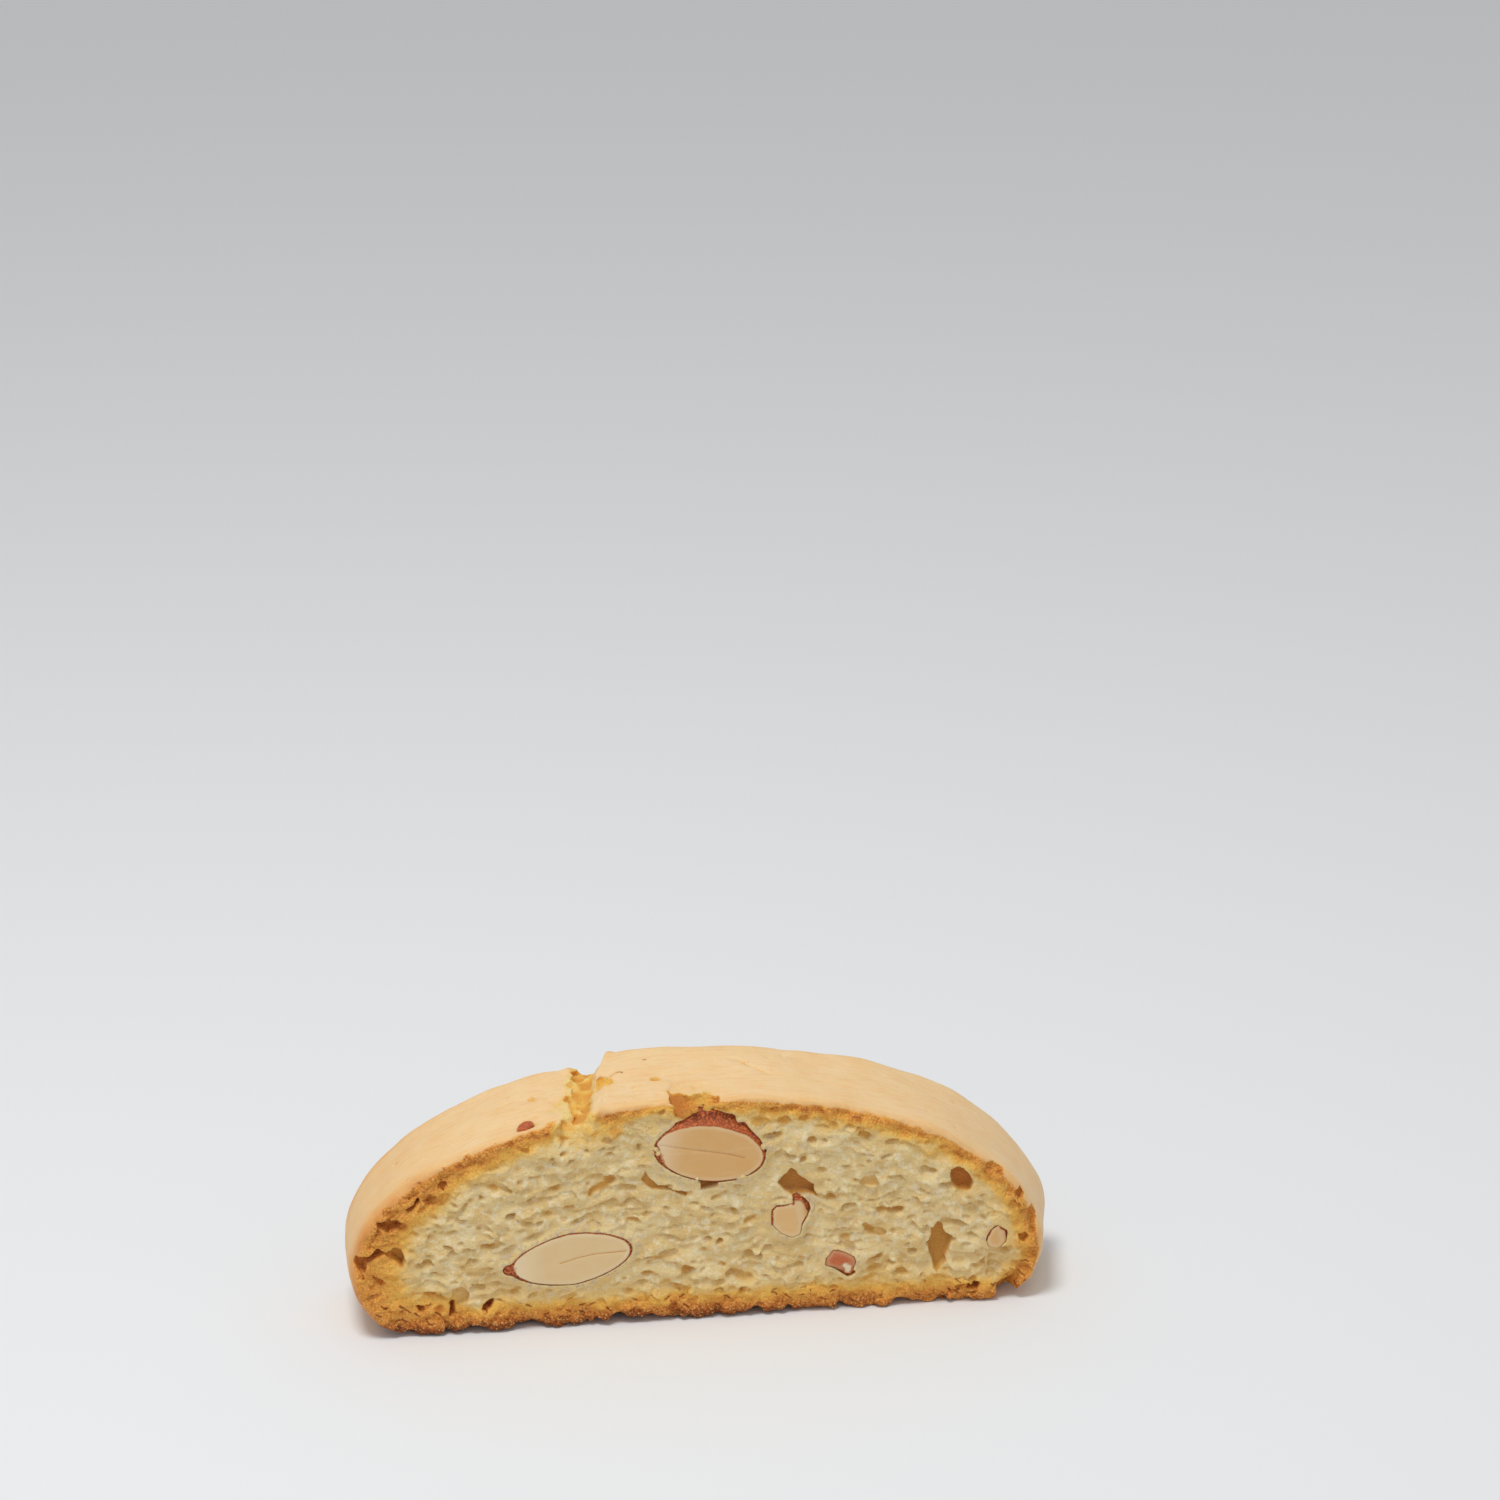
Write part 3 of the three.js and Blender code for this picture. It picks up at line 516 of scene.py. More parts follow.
def object_from(name, points, faces, wanted):
    """A smooth-shaded mesh object from points in millimetres, thinned to the wanted triangles."""
    mesh = bpy.data.meshes.new(name)
    mesh.from_pydata(points.tolist(), [], faces.tolist())
    piece = bpy.data.objects.new(name, mesh)
    bpy.context.scene.collection.objects.link(piece)
    # The thinning weighs errors well only at this scale, so the mesh becomes metres after it.
    thin = piece.modifiers.new("thin", "DECIMATE")
    thin.ratio = min(1.0, wanted / (2 * len(faces)))
    seen = piece.evaluated_get(bpy.context.evaluated_depsgraph_get())
    piece.data = bpy.data.meshes.new_from_object(seen)
    piece.data.name = name
    piece.modifiers.clear()
    bpy.data.meshes.remove(mesh)
    piece.data.transform(Matrix.Scale(MM, 4))
    piece.data.shade_smooth()
    return piece


def vertex_places(piece):
    """A piece's vertices, in millimetres."""
    values = np.empty(len(piece.data.vertices) * 3, np.float32)
    piece.data.vertices.foreach_get("co", values)
    return values.reshape(-1, 3).astype(float) / MM


def dress(piece, tints, material):
    """Gives a piece its material, and the values for each vertex that the material goes by."""
    for name, values in tints.items():
        layer = piece.data.attributes.new(name, "FLOAT", "POINT")
        layer.data.foreach_set("value", np.asarray(values, np.float32))
    piece.data.materials.clear()
    piece.data.materials.append(material)


# ------------------------------------------------------------------ the loaf's section


def section(name, y):
    """A size of the section, going evenly from the front face to the back one."""
    front, back = SECTION[name]
    return front + (back - front) * (y + FACE) / THICKNESS


def depth_in_crust(x, y, z):
    """How far a point is inside the crust over the top and ends, measured in its section."""
    beside = x - CREST_X
    left = beside < 0
    half = np.where(left, section("left", y), section("right", y))
    waist = np.where(left, section("left_waist", y), section("right_waist", y))
    foot = np.where(left, section("left_foot", y), section("right_foot", y))
    above = z > waist
    rise = np.where(above, section("top", y) - waist, waist)
    run = np.where(above, half, foot)
    across = np.maximum(np.where(above, np.abs(beside), np.abs(beside) - half + foot) / run, 0)
    up = np.abs(z - waist) / rise
    level = np.sqrt(across**2 + up**2) + 1e-6
    slope = np.sqrt((across / run) ** 2 + (up / rise) ** 2) / level + 1e-6
    return (1 - level) / slope


def dome_height(x, y):
    """Height of the plain dome."""
    beside = x - CREST_X
    half = np.where(beside < 0, section("left", y), section("right", y))
    waist = np.where(beside < 0, section("left_waist", y), section("right_waist", y))
    share = np.clip(1 - np.abs(beside / half) ** DOME_POWER, 0, 1)
    return waist + (section("top", y) - waist) * share ** (1 / DOME_POWER)


def layer_height(x, y, z):
    """Height counted along layers of crumb that rise with the dome, only less so."""
    return z * CREST_HEIGHT / (0.45 * dome_height(x, y) + 0.55 * CREST_HEIGHT)


# ------------------------------------------------------------------ carving the dough

ALMONDS = [row["node"] for row in frame["record"]["subparts"] if row["node"].startswith("almond")]


def crack_x(y):
    """Where the crack across the crust runs."""
    share = (y + FACE) / THICKNESS
    start, drift, swing = CRACK_LINE
    return start + drift * share + swing * np.sin(2 * math.pi * share)


def rim_width(x):
    """How far the toasted rim reaches into a face: deep at the ends, thin over the crest."""
    return np.interp(x, *RIM_WIDTH)


def kernel_place(node, x, z):
    """Where a point of the face is on a whole almond: along it, up it, outwards, which is 1 at its
    edge, and the square of half of outwards' gradient."""
    kernel = KERNELS[node]
    (middle_x, _, middle_z), (long, _, tall), (left, right) = (kernel[k] for k in ("middle", "half", "blunt"))
    slope = math.radians(kernel["slope"])
    u = (x - middle_x) * math.cos(slope) + (z - middle_z) * math.sin(slope)
    v = (z - middle_z) * math.cos(slope) - (x - middle_x) * math.sin(slope)
    point = np.where(u < 0, left, right)
    slope_u = 0.5 * point * np.abs(u / long) ** (point - 1) / long
    return u, v, np.abs(u / long) ** point + (v / tall) ** 2, slope_u**2 + (v / tall**2) ** 2


def chip_shape(node, block, room):
    """Distance to a chip in the front face: its outline, widening inwards, under two flat facets.
    Room gives what it takes up in the dough instead, which is open to the front."""
    outline, (ridge_x, ridge_z, way, steepness) = CHIPS[node]
    x, y, z = block.axes()
    way = math.radians(way)
    beyond = (x - ridge_x) * math.cos(way) + (z - ridge_z) * math.sin(way)
    back = y + FACE
    body = np.maximum(polygon_distance(x, z, outline) - 0.12 * np.clip(back, 0, 1), back - CHIP_DEPTH)
    if not room:
        body = smooth_max(body, steepness * np.maximum(beyond, 0) + 0.05 - back, 0.15)
    return np.clip(body, -block.far, block.far).astype(np.float32)


def almond_shape(node, block, room=False):
    """Distance to an almond piece's surface. The whole ones in front are drawn out at their ends.
    Room gives what a piece in the front face takes up in the dough, which is open to the front."""
    if node in CHIPS:
        return chip_shape(node, block, room)
    if node not in KERNELS:
        return block.distances(node)
    middle_x, middle_y, middle_z = KERNELS[node]["middle"]
    deep = KERNELS[node]["half"][1]
    x, y, z = block.axes()
    if room:
        y = np.maximum(y, -FACE + 0.1)
    outwards, steepness = kernel_place(node, x, z)[2:]
    level = np.sqrt(outwards + ((y - middle_y) / deep) ** 2) + 1e-6
    slope = np.sqrt(steepness + ((y - middle_y) / deep**2) ** 2) / level
    body = (level - 1) / np.maximum(slope, 0.06)
    if node == "almond_upper":
        # Its skin stands further out behind the cut, most at the top.
        around = np.arctan2(z - middle_z, x - middle_x)
        body = body - np.interp(around, *SKIN_REACH) * ramp(y, -FACE, -8.2) * ramp(y, -2.0, -5.0)
    else:
        (knob_x, knob_y, knob_z), radius = KNOB
        knob = np.sqrt((x - knob_x) ** 2 + (y - knob_y) ** 2 + (z - knob_z) ** 2) - radius
        body = -smooth_max(-body, -knob, 0.9)
    if not room:
        body = np.maximum(body, -FACE + 0.05 - y)
    return np.clip(body, -block.far, block.far).astype(np.float32)


def line_distance(u, v, corners):
    """Distance in a plane to a line through corners."""
    found = np.inf
    for (u0, v0), (u1, v1) in zip(corners, corners[1:]):
        du, dv = u1 - u0, v1 - v0
        t = np.clip(((u - u0) * du + (v - v0) * dv) / (du * du + dv * dv), 0, 1)
        found = np.minimum(found, np.hypot(u - u0 - t * du, v - v0 - t * dv))
    return found


def polygon_distance(u, v, corners):
    """Distance in a plane to a closed outline, negative inside it."""
    closed = corners + corners[:1]
    away = line_distance(u, v, closed)
    inside = np.zeros(away.shape, bool)
    for (u0, v0), (u1, v1) in zip(closed, closed[1:]):
        inside ^= ((v0 > v) != (v1 > v)) & (u < u0 + (v - v0) / ((v1 - v0) or 1) * (u1 - u0))
    return np.where(inside, -away, away)


class Dough:
    """The dough's block of distances, with how browned it is where something was taken out, a tint that is
    partly painted shade.
    """

    def __init__(self):
        low, high = (np.array(corner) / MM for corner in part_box("biscotti_slice"))
        self.block = Block.around(low - 1.4, high + 1.4, DOUGH_CELL)
        self.values = self.block.distances("biscotti_slice")
        self.browning_and_shade = np.zeros(self.block.shape, np.float32)
        x, y, z = self.block.axes()
        self.rim = depth_in_crust(x, y, z).astype(np.float32)
        self.into = FACE - np.abs(y)
        self.almond = np.full(self.block.shape, self.block.far, np.float32)
        for node in ALMONDS:
            low, high = (np.array(corner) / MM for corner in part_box(node))
            window = self.block.window(low - self.block.far - 1, high + self.block.far + 1)
            near = almond_shape(node, self.block.part(window), room=True)
            self.almond[window] = np.minimum(self.almond[window], near)
        self.in_crack = ramp(np.abs(x - crack_x(y) - CRACK_MIDDLE), 4.6, 3.0) * ramp(z, 27.5, 29)
        self.in_crease = ramp(np.abs(x - CREASE_X), 4.5, 3.0) * ramp(z, 10, 7)
        self.warp = [self.block.noise((1.5, 1.2, 1.2), seed) for seed in (41, 42, 43)]
        self.fine_warp = [self.block.noise(0.62, seed) for seed in (44, 45, 46)]

    def take_out(self, window, hollow, softness, browning_and_shade):
        """Carves a hollow, given as a distance that is positive inside it, and browns its wall, a tint that
        is partly painted shade.
        """
        self.values[window] = smooth_max(self.values[window], hollow, softness)
        tint = browning_and_shade * ramp(hollow, -BROWNED_AND_SHADED_WALL, 0.0)
        self.browning_and_shade[window] = np.maximum(self.browning_and_shade[window], tint)

    def carve(self, centre, axes, radii, ragged, softness, browning_and_shade, square=2.0):
        """Takes out a rounded body of three axes and radii: 1 makes it pointed, 2 round, 4 square."""
        reach = float(np.max(radii)) * 1.15 + 1.5 * ragged + 2 * softness
        window = self.block.window(centre - reach, centre + reach)
        if window is None:
            return
        place = []
        for axis, line in enumerate(self.block.part(window).axes()):
            shift = 0.6 * self.warp[axis][window] + 0.5 * self.fine_warp[axis][window]
            place.append(line - centre[axis] + ragged * shift)
        level = 0.0
        for direction, radius in zip(axes, radii):
            along = sum(place[i] * float(direction[i]) for i in range(3))
            level = level + np.abs(along / radius) ** square
        hollow = ((1 - level ** (1 / square)) * float(np.min(radii))).astype(np.float32)
        self.take_out(window, hollow, softness, browning_and_shade)

    def lump(self, centre, radius):
        """Adds a small round crumb."""
        window = self.block.window(np.array(centre) - 2 * radius, np.array(centre) + 2 * radius)
        x, y, z = self.block.part(window).axes()
        away = np.sqrt((x - centre[0]) ** 2 + (y - centre[1]) ** 2 + (z - centre[2]) ** 2) - radius
        away = away + 0.2 * radius * self.fine_warp[0][window]
        self.values[window] = np.minimum(self.values[window], away)

    def pocket(self, face, x, z, width, height, slope, browning_and_shade, ragged, square):
        """A bubble cut open by a face: crisp and overhung at its top, running out softly below."""
        inward = -math.copysign(1, face)
        along = np.array([math.cos(slope), 0, math.sin(slope)])
        up = np.array([-math.sin(slope), 0, math.cos(slope)])
        deep = math.cos(OVERHANG) * np.array([0, inward, 0]) + math.sin(OVERHANG) * up
        thick = np.cross(along, deep)
        small = min(width, height)
        radii = (width / 2, 0.9 * small + 0.35 * height, 0.4 * height)
        centre = np.array([x, face + inward * 0.3 * small, z])
        self.carve(centre, (along, deep, thick), radii, ragged, 0.1, browning_and_shade, square)

    def hollow_out(self, outline, depth, browning_and_shade):
        """A bubble with an outline in the front face, that leans upwards and narrows as it goes in."""
        corners = np.array(outline)
        (low_x, low_z), (high_x, high_z) = corners.min(0) - 1, corners.max(0) + 1
        window = self.block.window((low_x, -FACE - 1, low_z), (high_x, -FACE + depth + 1, high_z + 1))
        x, y, z = self.block.part(window).axes()
        into = y + FACE
        shift = [0.12 * self.warp[axis][window] + 0.16 * self.fine_warp[axis][window] for axis in (0, 2)]
        side = polygon_distance(x + shift[0], z + shift[1] - 0.4 * into, outline)
        hollow = np.minimum(0.1 - side - 0.1 * np.maximum(into, 0), depth - into).astype(np.float32)
        self.take_out(window, hollow, 0.1, browning_and_shade)

    def pit(self, x, y, width, across, depth, browning_and_shade):
        """A pit in the crust, seen from above."""
        centre = np.array([x, y, float(dome_height(x, y)) - 0.15 * depth])
        slope = math.atan(float(dome_height(x + 0.5, y) - dome_height(x - 0.5, y)))
        axes = (
            np.array([math.cos(slope), 0, math.sin(slope)]),
            np.array([0, 1.0, 0]),
            np.array([-math.sin(slope), 0, math.cos(slope)]),
        )
        self.carve(centre, axes, (width / 2, across / 2, depth), 0.4, 0.12, browning_and_shade)

    def hairline(self, points):
        """A fine break that wanders through points on the crust."""
        width, depth = BREAK_SIZE
        for (x0, y0), (x1, y1) in zip(points, points[1:]):
            steps = max(2, round(math.hypot(x1 - x0, y1 - y0) / 0.35))
            for step in range(steps):
                share = step / steps
                self.pit(x0 + share * (x1 - x0), y0 + share * (y1 - y0), width, width, depth, 0.25)

    def fill_faces(self):
        """Makes the cut faces plain, to be carved anew, and the crack shallow and crumbly."""
        y, z = self.block.axes()[1:]
        outside = np.maximum(-self.into, 0.12 * ramp(y, -2, 0) - 0.03 - self.almond)
        kept = np.maximum(self.in_crack, self.in_crease)
        plain = np.maximum(np.maximum(outside, 1.4 - self.rim), 1.2 - z) + self.block.far * kept
        self.values = np.minimum(self.values, plain)
        rough = 0.7 * self.block.noise((1.8, 2.2, 1.6), 53) + 0.35 * self.fine_warp[2]
        floor = 2.0 + 2.8 * ramp(y, -7.5, -9.5) + rough - self.rim
        shallow = np.maximum(outside, floor) + self.block.far * (1 - self.in_crack)
        self.values = np.minimum(self.values, shallow)

    def mend_crust(self):
        """Closes the crust over the upper almond, to be torn open anew."""
        x, y, z = self.block.axes()
        over_almond = ramp(np.abs(x + 1.2), 11.5, 9.5) * ramp(z, 28, 29) * ramp(y, -0.5, -2.5)
        above = np.maximum(-self.into, -self.rim) + self.block.far * (1 - over_almond)
        self.values = np.minimum(self.values, above)

    def show_almond(self):
        """Breaks the dough away before the upper almond's skin, and opens the blister above it."""
        window = self.block.window((-14, -12, 20), (12, -1, 42))
        x, y, z = self.block.part(window).axes()
        ragged = 0.2 * self.fine_warp[1][window] + 0.1 * self.warp[2][window]
        back = y + FACE
        shown = polygon_distance(x - 0.144 * back, z + 0.364 * back, ALMOND_SHOWN) + ragged
        opening = np.minimum(-shown, -5.0 - y)
        tear = polygon_distance(x, y, TEAR) + 2.0 * ragged
        depth = np.interp(y, (-FACE, -6.4), (3.0, 0.8)) + 1.2 * ragged
        opening = np.maximum(opening, np.minimum(-tear, depth - self.rim[window]))
        worn = polygon_distance(x, y, WORN) + 2.0 * ragged
        shallow = 0.35 + 1.8 * ragged - self.rim[window]
        opening = np.maximum(opening, np.minimum(-worn, shallow))
        self.values[window] = smooth_max(self.values[window], opening.astype(np.float32), 0.12)
        browned = 0.45 + 0.4 * ramp(x, -1.5, -5.5)
        tint = browned * ramp(-tear, -0.25, 0.05) * ramp(z, 33.6, 35.0)
        tint = np.maximum(tint, 0.22 * ramp(-worn, -0.3, 0.3) * ramp(z, 36, 37))
        tint = tint * ramp(depth + 0.6 - self.rim[window], 0, 0.3)
        self.browning_and_shade[window] = np.maximum(self.browning_and_shade[window], tint)

    def relief(self, face, seed):
        """How far the crumb stands back from a face: soft layers, each overhanging the one below."""
        x, z = self.block.line(0)[:, None], self.block.line(2)[None, :]
        v = layer_height(x, face, z)
        wander = 0.9 * noise_2d(x / 9, v / 5, seed) + 0.6 * noise_2d(x / 2.4, v / 1.7, seed + 1)
        phase = v / LAYER + wander
        climb = phase - np.floor(phase)
        swell = ramp(noise_2d(x / 2.6, v / 1.8, seed + 2), -0.5, 0.8)
        lumps = 0.5 + 0.6 * noise_2d(x / 1.9, v / 1.3, seed + 3)
        small = 0.5 + 0.6 * noise_2d(x / 1.0, v / 0.7, seed + 4)
        return 0.85 * climb**1.7 * swell + 0.6 * np.clip(lumps, 0, 1.4) + 0.42 * np.clip(small, 0, 1.4)

    def roughen_faces(self):
        """The crumb's layers on both cut faces, and the torn grain of the rims and base."""
        z = self.block.axes()[2]
        toasted = np.maximum(ramp(self.rim, 3.4, 1.2), ramp(z, 5.5, 2.6))
        near = ramp(self.into, 3.4, 0.6)
        lean = 0.7
        beside = ramp(self.almond, 0.05, 1.1) * ramp(self.rim, 0.2, 2.0)
        for face, seed in FACES:
            relief = self.relief(face, seed)
            for j in np.flatnonzero((self.block.line(1) * face > 0) & (self.into[0, :, 0] < 3.4)):
                shift = lean * max(float(self.into[0, j, 0]), 0) / self.block.cell
                whole, part = int(shift), shift - int(shift)
                lifted = (1 - part) * np.roll(relief, whole, 1) + part * np.roll(relief, whole + 1, 1)
                share = near[0, j, 0] * (1 - 0.6 * toasted[:, j]) * beside[:, j]
                self.values[:, j] += share * lifted
        grain = self.block.noise(0.75, 15)
        fine = self.block.noise(0.42, 16)
        broad = self.block.noise((2.2, 2.0, 1.6), 17)
        torn = np.clip(near * toasted * ramp(self.rim, 0.1, 1.8) + ramp(z, 1.8, 0.5), 0, 1)
        chunks = 0.45 + 0.35 * ramp(z, 6, 3)
        depth = 0.36 + 0.55 * grain + 0.35 * fine + chunks * np.maximum(broad, -0.2)
        self.values += torn * ramp(self.almond, 0.1, 0.8) * np.clip(depth, 0, None)

    def clear_of_almonds(self, face, x, z, room):
        """Whether a spot on a face is at least room from every almond piece."""
        place = np.array([[x, face + math.copysign(-0.4, face), z]])
        return self.block.at(self.almond, place)[0] > min(room, 0.9 * self.block.far)

    def open_crumb(self, face, seed):
        """Small bubbles all over a face, in rows along the layers."""
        draw = random_from(seed)
        for row in range(CRUMB_ROWS):
            x = -57.0 + draw.uniform(0, 3)
            while x < 57.0:
                x += draw.uniform(1.6, 4.2)
                height = float(dome_height(x, face))
                z = (row + draw.uniform(0.1, 0.9)) / CRUMB_ROWS * height
                rim = min(float(depth_in_crust(x, face, z)), z)
                if rim < 1.1 or (z < 3.0 and draw.random() < 0.5):
                    continue
                size = 0.6 + 0.7 * draw.random() ** 2.0
                wide = size * draw.uniform(1.3, 3.0)
                tall = size * draw.uniform(0.75, 1.05)
                rising = math.atan(float(dome_height(x + 1, face)) - height) * 0.45 * z / height
                toasted = float(ramp(rim, rim_width(x) + 1, rim_width(x) - 1))
                browning_and_shade = draw.uniform(0.15, 0.6) + 0.3 * toasted
                slope = rising + draw.normal(0, 0.22)
                square = draw.uniform(1.2, 3.2)
                if self.clear_of_almonds(face, x, z, 0.5 * wide + 0.4):
                    self.pocket(face, x, z, wide, tall, slope, browning_and_shade, 0.28, square)

    def open_rim(self, face, seed):
        """Larger bubbles along the inside of the toasted rim and in the base, browner inside, partly as
        painted shade.
        """
        draw = random_from(seed)
        for turn in np.linspace(0.06, 0.94, RIM_BUBBLES):
            angle = math.pi * (1 - turn) + draw.normal(0, 0.02)
            x = CREST_X + (52.0 + draw.uniform(-2.4, 0.6)) * math.cos(angle)
            z = float(dome_height(x, face)) - draw.uniform(0.5, 1.1) * float(rim_width(x)) - 0.6
            if z < 4.5 or draw.random() < 0.3 or not self.clear_of_almonds(face, x, z, 2):
                continue
            wide = draw.uniform(1.0, 2.2)
            slope = math.atan(float(dome_height(x + 1, face) - dome_height(x, face))) * 0.7
            tall = wide * draw.uniform(0.45, 0.7)
            self.pocket(face, x, z, wide, tall, slope, draw.uniform(0.5, 0.85), 0.4, 1.5)
        for x in np.arange(-50.0, 50.0, BASE_SPACING):
            x, z = x + draw.uniform(-1, 1), draw.uniform(1.2, 5.4)
            wide = draw.uniform(0.8, 2.4)
            tall = wide * draw.uniform(0.25, 0.6)
            slope = draw.normal(0, 0.5)
            self.pocket(face, x, z, wide, tall, slope, draw.uniform(0.5, 0.95), 0.4, 1.3)

    def finish_crust(self):
        """An even crust with broad dents."""
        z = self.block.axes()[2]
        broken = np.maximum(self.in_crack, self.in_crease)
        even = self.block.blur(self.values, 1.6, along=(0, 2))
        on_crust = ramp(self.rim, 1.6, 0.6) * ramp(z, 2.0, 5.0) * (1 - broken)
        self.values += on_crust * (even - self.values)
        dents = 0.16 * self.block.noise((6.0, 5.0, 6.0), 11) + 0.07 * self.block.noise((2.4, 1.6, 2.4), 12)
        self.values += ramp(self.rim, 3.0, 1.0) * ramp(z, 1.0, 4.0) * dents

    def break_crust(self):
        """The crack, the blister torn open over the upper almond, and finer breaks and pits."""
        x, y, z = self.block.axes()
        rough = 0.6 * self.warp[1] + 0.5 * self.fine_warp[0]
        over = crack_x(y) + 3.3 - 1.4 * ramp(y, -8, 2) + 0.5 * rough - x
        wedge = np.minimum(0.7 * over - self.rim, x - crack_x(y) + 1.0) * 0.8
        wedge = wedge + 0.4 * rough - self.block.far * (1 - self.in_crack)
        self.values = np.maximum(self.values, wedge)
        below = ramp(self.rim, -0.3, 1.2) * self.in_crack
        self.values += below * (0.45 * self.block.noise(1.6, 51) + 0.3 * self.block.noise(0.75, 52))
        beside = ramp(np.abs(x - crack_x(y) + 2.6), 4.4, 2.0) * ramp(y, -8, -3) * ramp(z, 27, 29)
        wear = self.block.noise((1.6, 1.8, 1.4), 54) + 0.6 * self.fine_warp[2]
        wear = beside * ramp(self.rim, 1.4, 0.6) * ramp(wear, 0.0, 0.9)
        self.values += 0.5 * wear
        self.browning_and_shade = np.maximum(self.browning_and_shade, 0.3 * wear)
        self.show_almond()
        self.lump(*BLISTER_CRUMB)
        for px, py, width, across, browning_and_shade in CRUST_PITS:
            self.pit(px, py, width, across, 0.9, browning_and_shade)
        for points in CRUST_BREAKS:
            self.hairline(points)
        draw = random_from(61)
        for _ in range(SMALL_PITS):
            px, py = draw.uniform(-50, 50), draw.uniform(-8.6, 8.6)
            width = draw.uniform(0.3, 0.8)
            self.pit(px, py, width * 1.4, width * 0.7, draw.uniform(0.2, 0.35), 0.15)
        for _ in range(CRACK_HOLLOWS):
            py = draw.uniform(-9.5, 9.5)
            px = crack_x(py) - 0.3 + draw.normal(0, 0.8)
            size = draw.uniform(0.6, 1.3)
            centre = np.array([px, py, float(dome_height(px, py)) - draw.uniform(0.9, 1.9)])
            radii = (size, size * draw.uniform(0.7, 1.3), size * 0.7)
            self.carve(centre, np.eye(3), radii, 0.5, 0.25, draw.uniform(0.3, 0.7), 1.6)

    def clear_almonds(self):
        """Opens the dough round each almond piece, which it holds tightly, and leaves crumbs on one."""
        y = self.block.axes()[1]
        gap = 0.01 + 0.06 * ramp(y, -2, 0) + 0.03 * self.warp[0] + 0.02 * self.fine_warp[1]
        self.values = np.maximum(self.values, gap - self.almond)
        for centre, radius in ALMOND_CRUMBS:
            self.lump(centre, radius)


def carved_dough():
    """The dough's block with everything carved in it, in the order in which each step needs the last."""
    dough = Dough()
    dough.values = dough.block.blur(dough.values, 0.16)
    dough.mend_crust()
    dough.finish_crust()
    dough.fill_faces()
    dough.roughen_faces()
    for face, seed in FACES:
        dough.open_crumb(face, seed)
        dough.open_rim(face, seed + 1)
    for browning_and_shade, depth, outline in FRONT_HOLLOWS:
        dough.hollow_out(outline, depth, browning_and_shade)
    # The back face's larger bubbles, which are random ones.
    draw = random_from(32)
    for x in np.arange(-48.0, 52.0, BACK_SPACING):
        x, share = x + draw.uniform(-2, 2), draw.uniform(0.25, 0.85)
        z = share * float(dome_height(x, FACE))
        wide = draw.uniform(1.8, 4.6)
        tall = wide * draw.uniform(0.4, 0.8)
        if dough.clear_of_almonds(FACE, x, z, 0.6 * wide):
            dough.pocket(FACE, x, z, wide, tall, draw.normal(0, 0.4), draw.uniform(0.4, 0.8), 0.5, 1.7)
    dough.break_crust()
    dough.values = dough.block.blur(dough.values, 0.09)
    dough.clear_almonds()
    dough.values = np.maximum(dough.values, -dough.block.axes()[2])
    return dough


# ------------------------------------------------------------------ materials


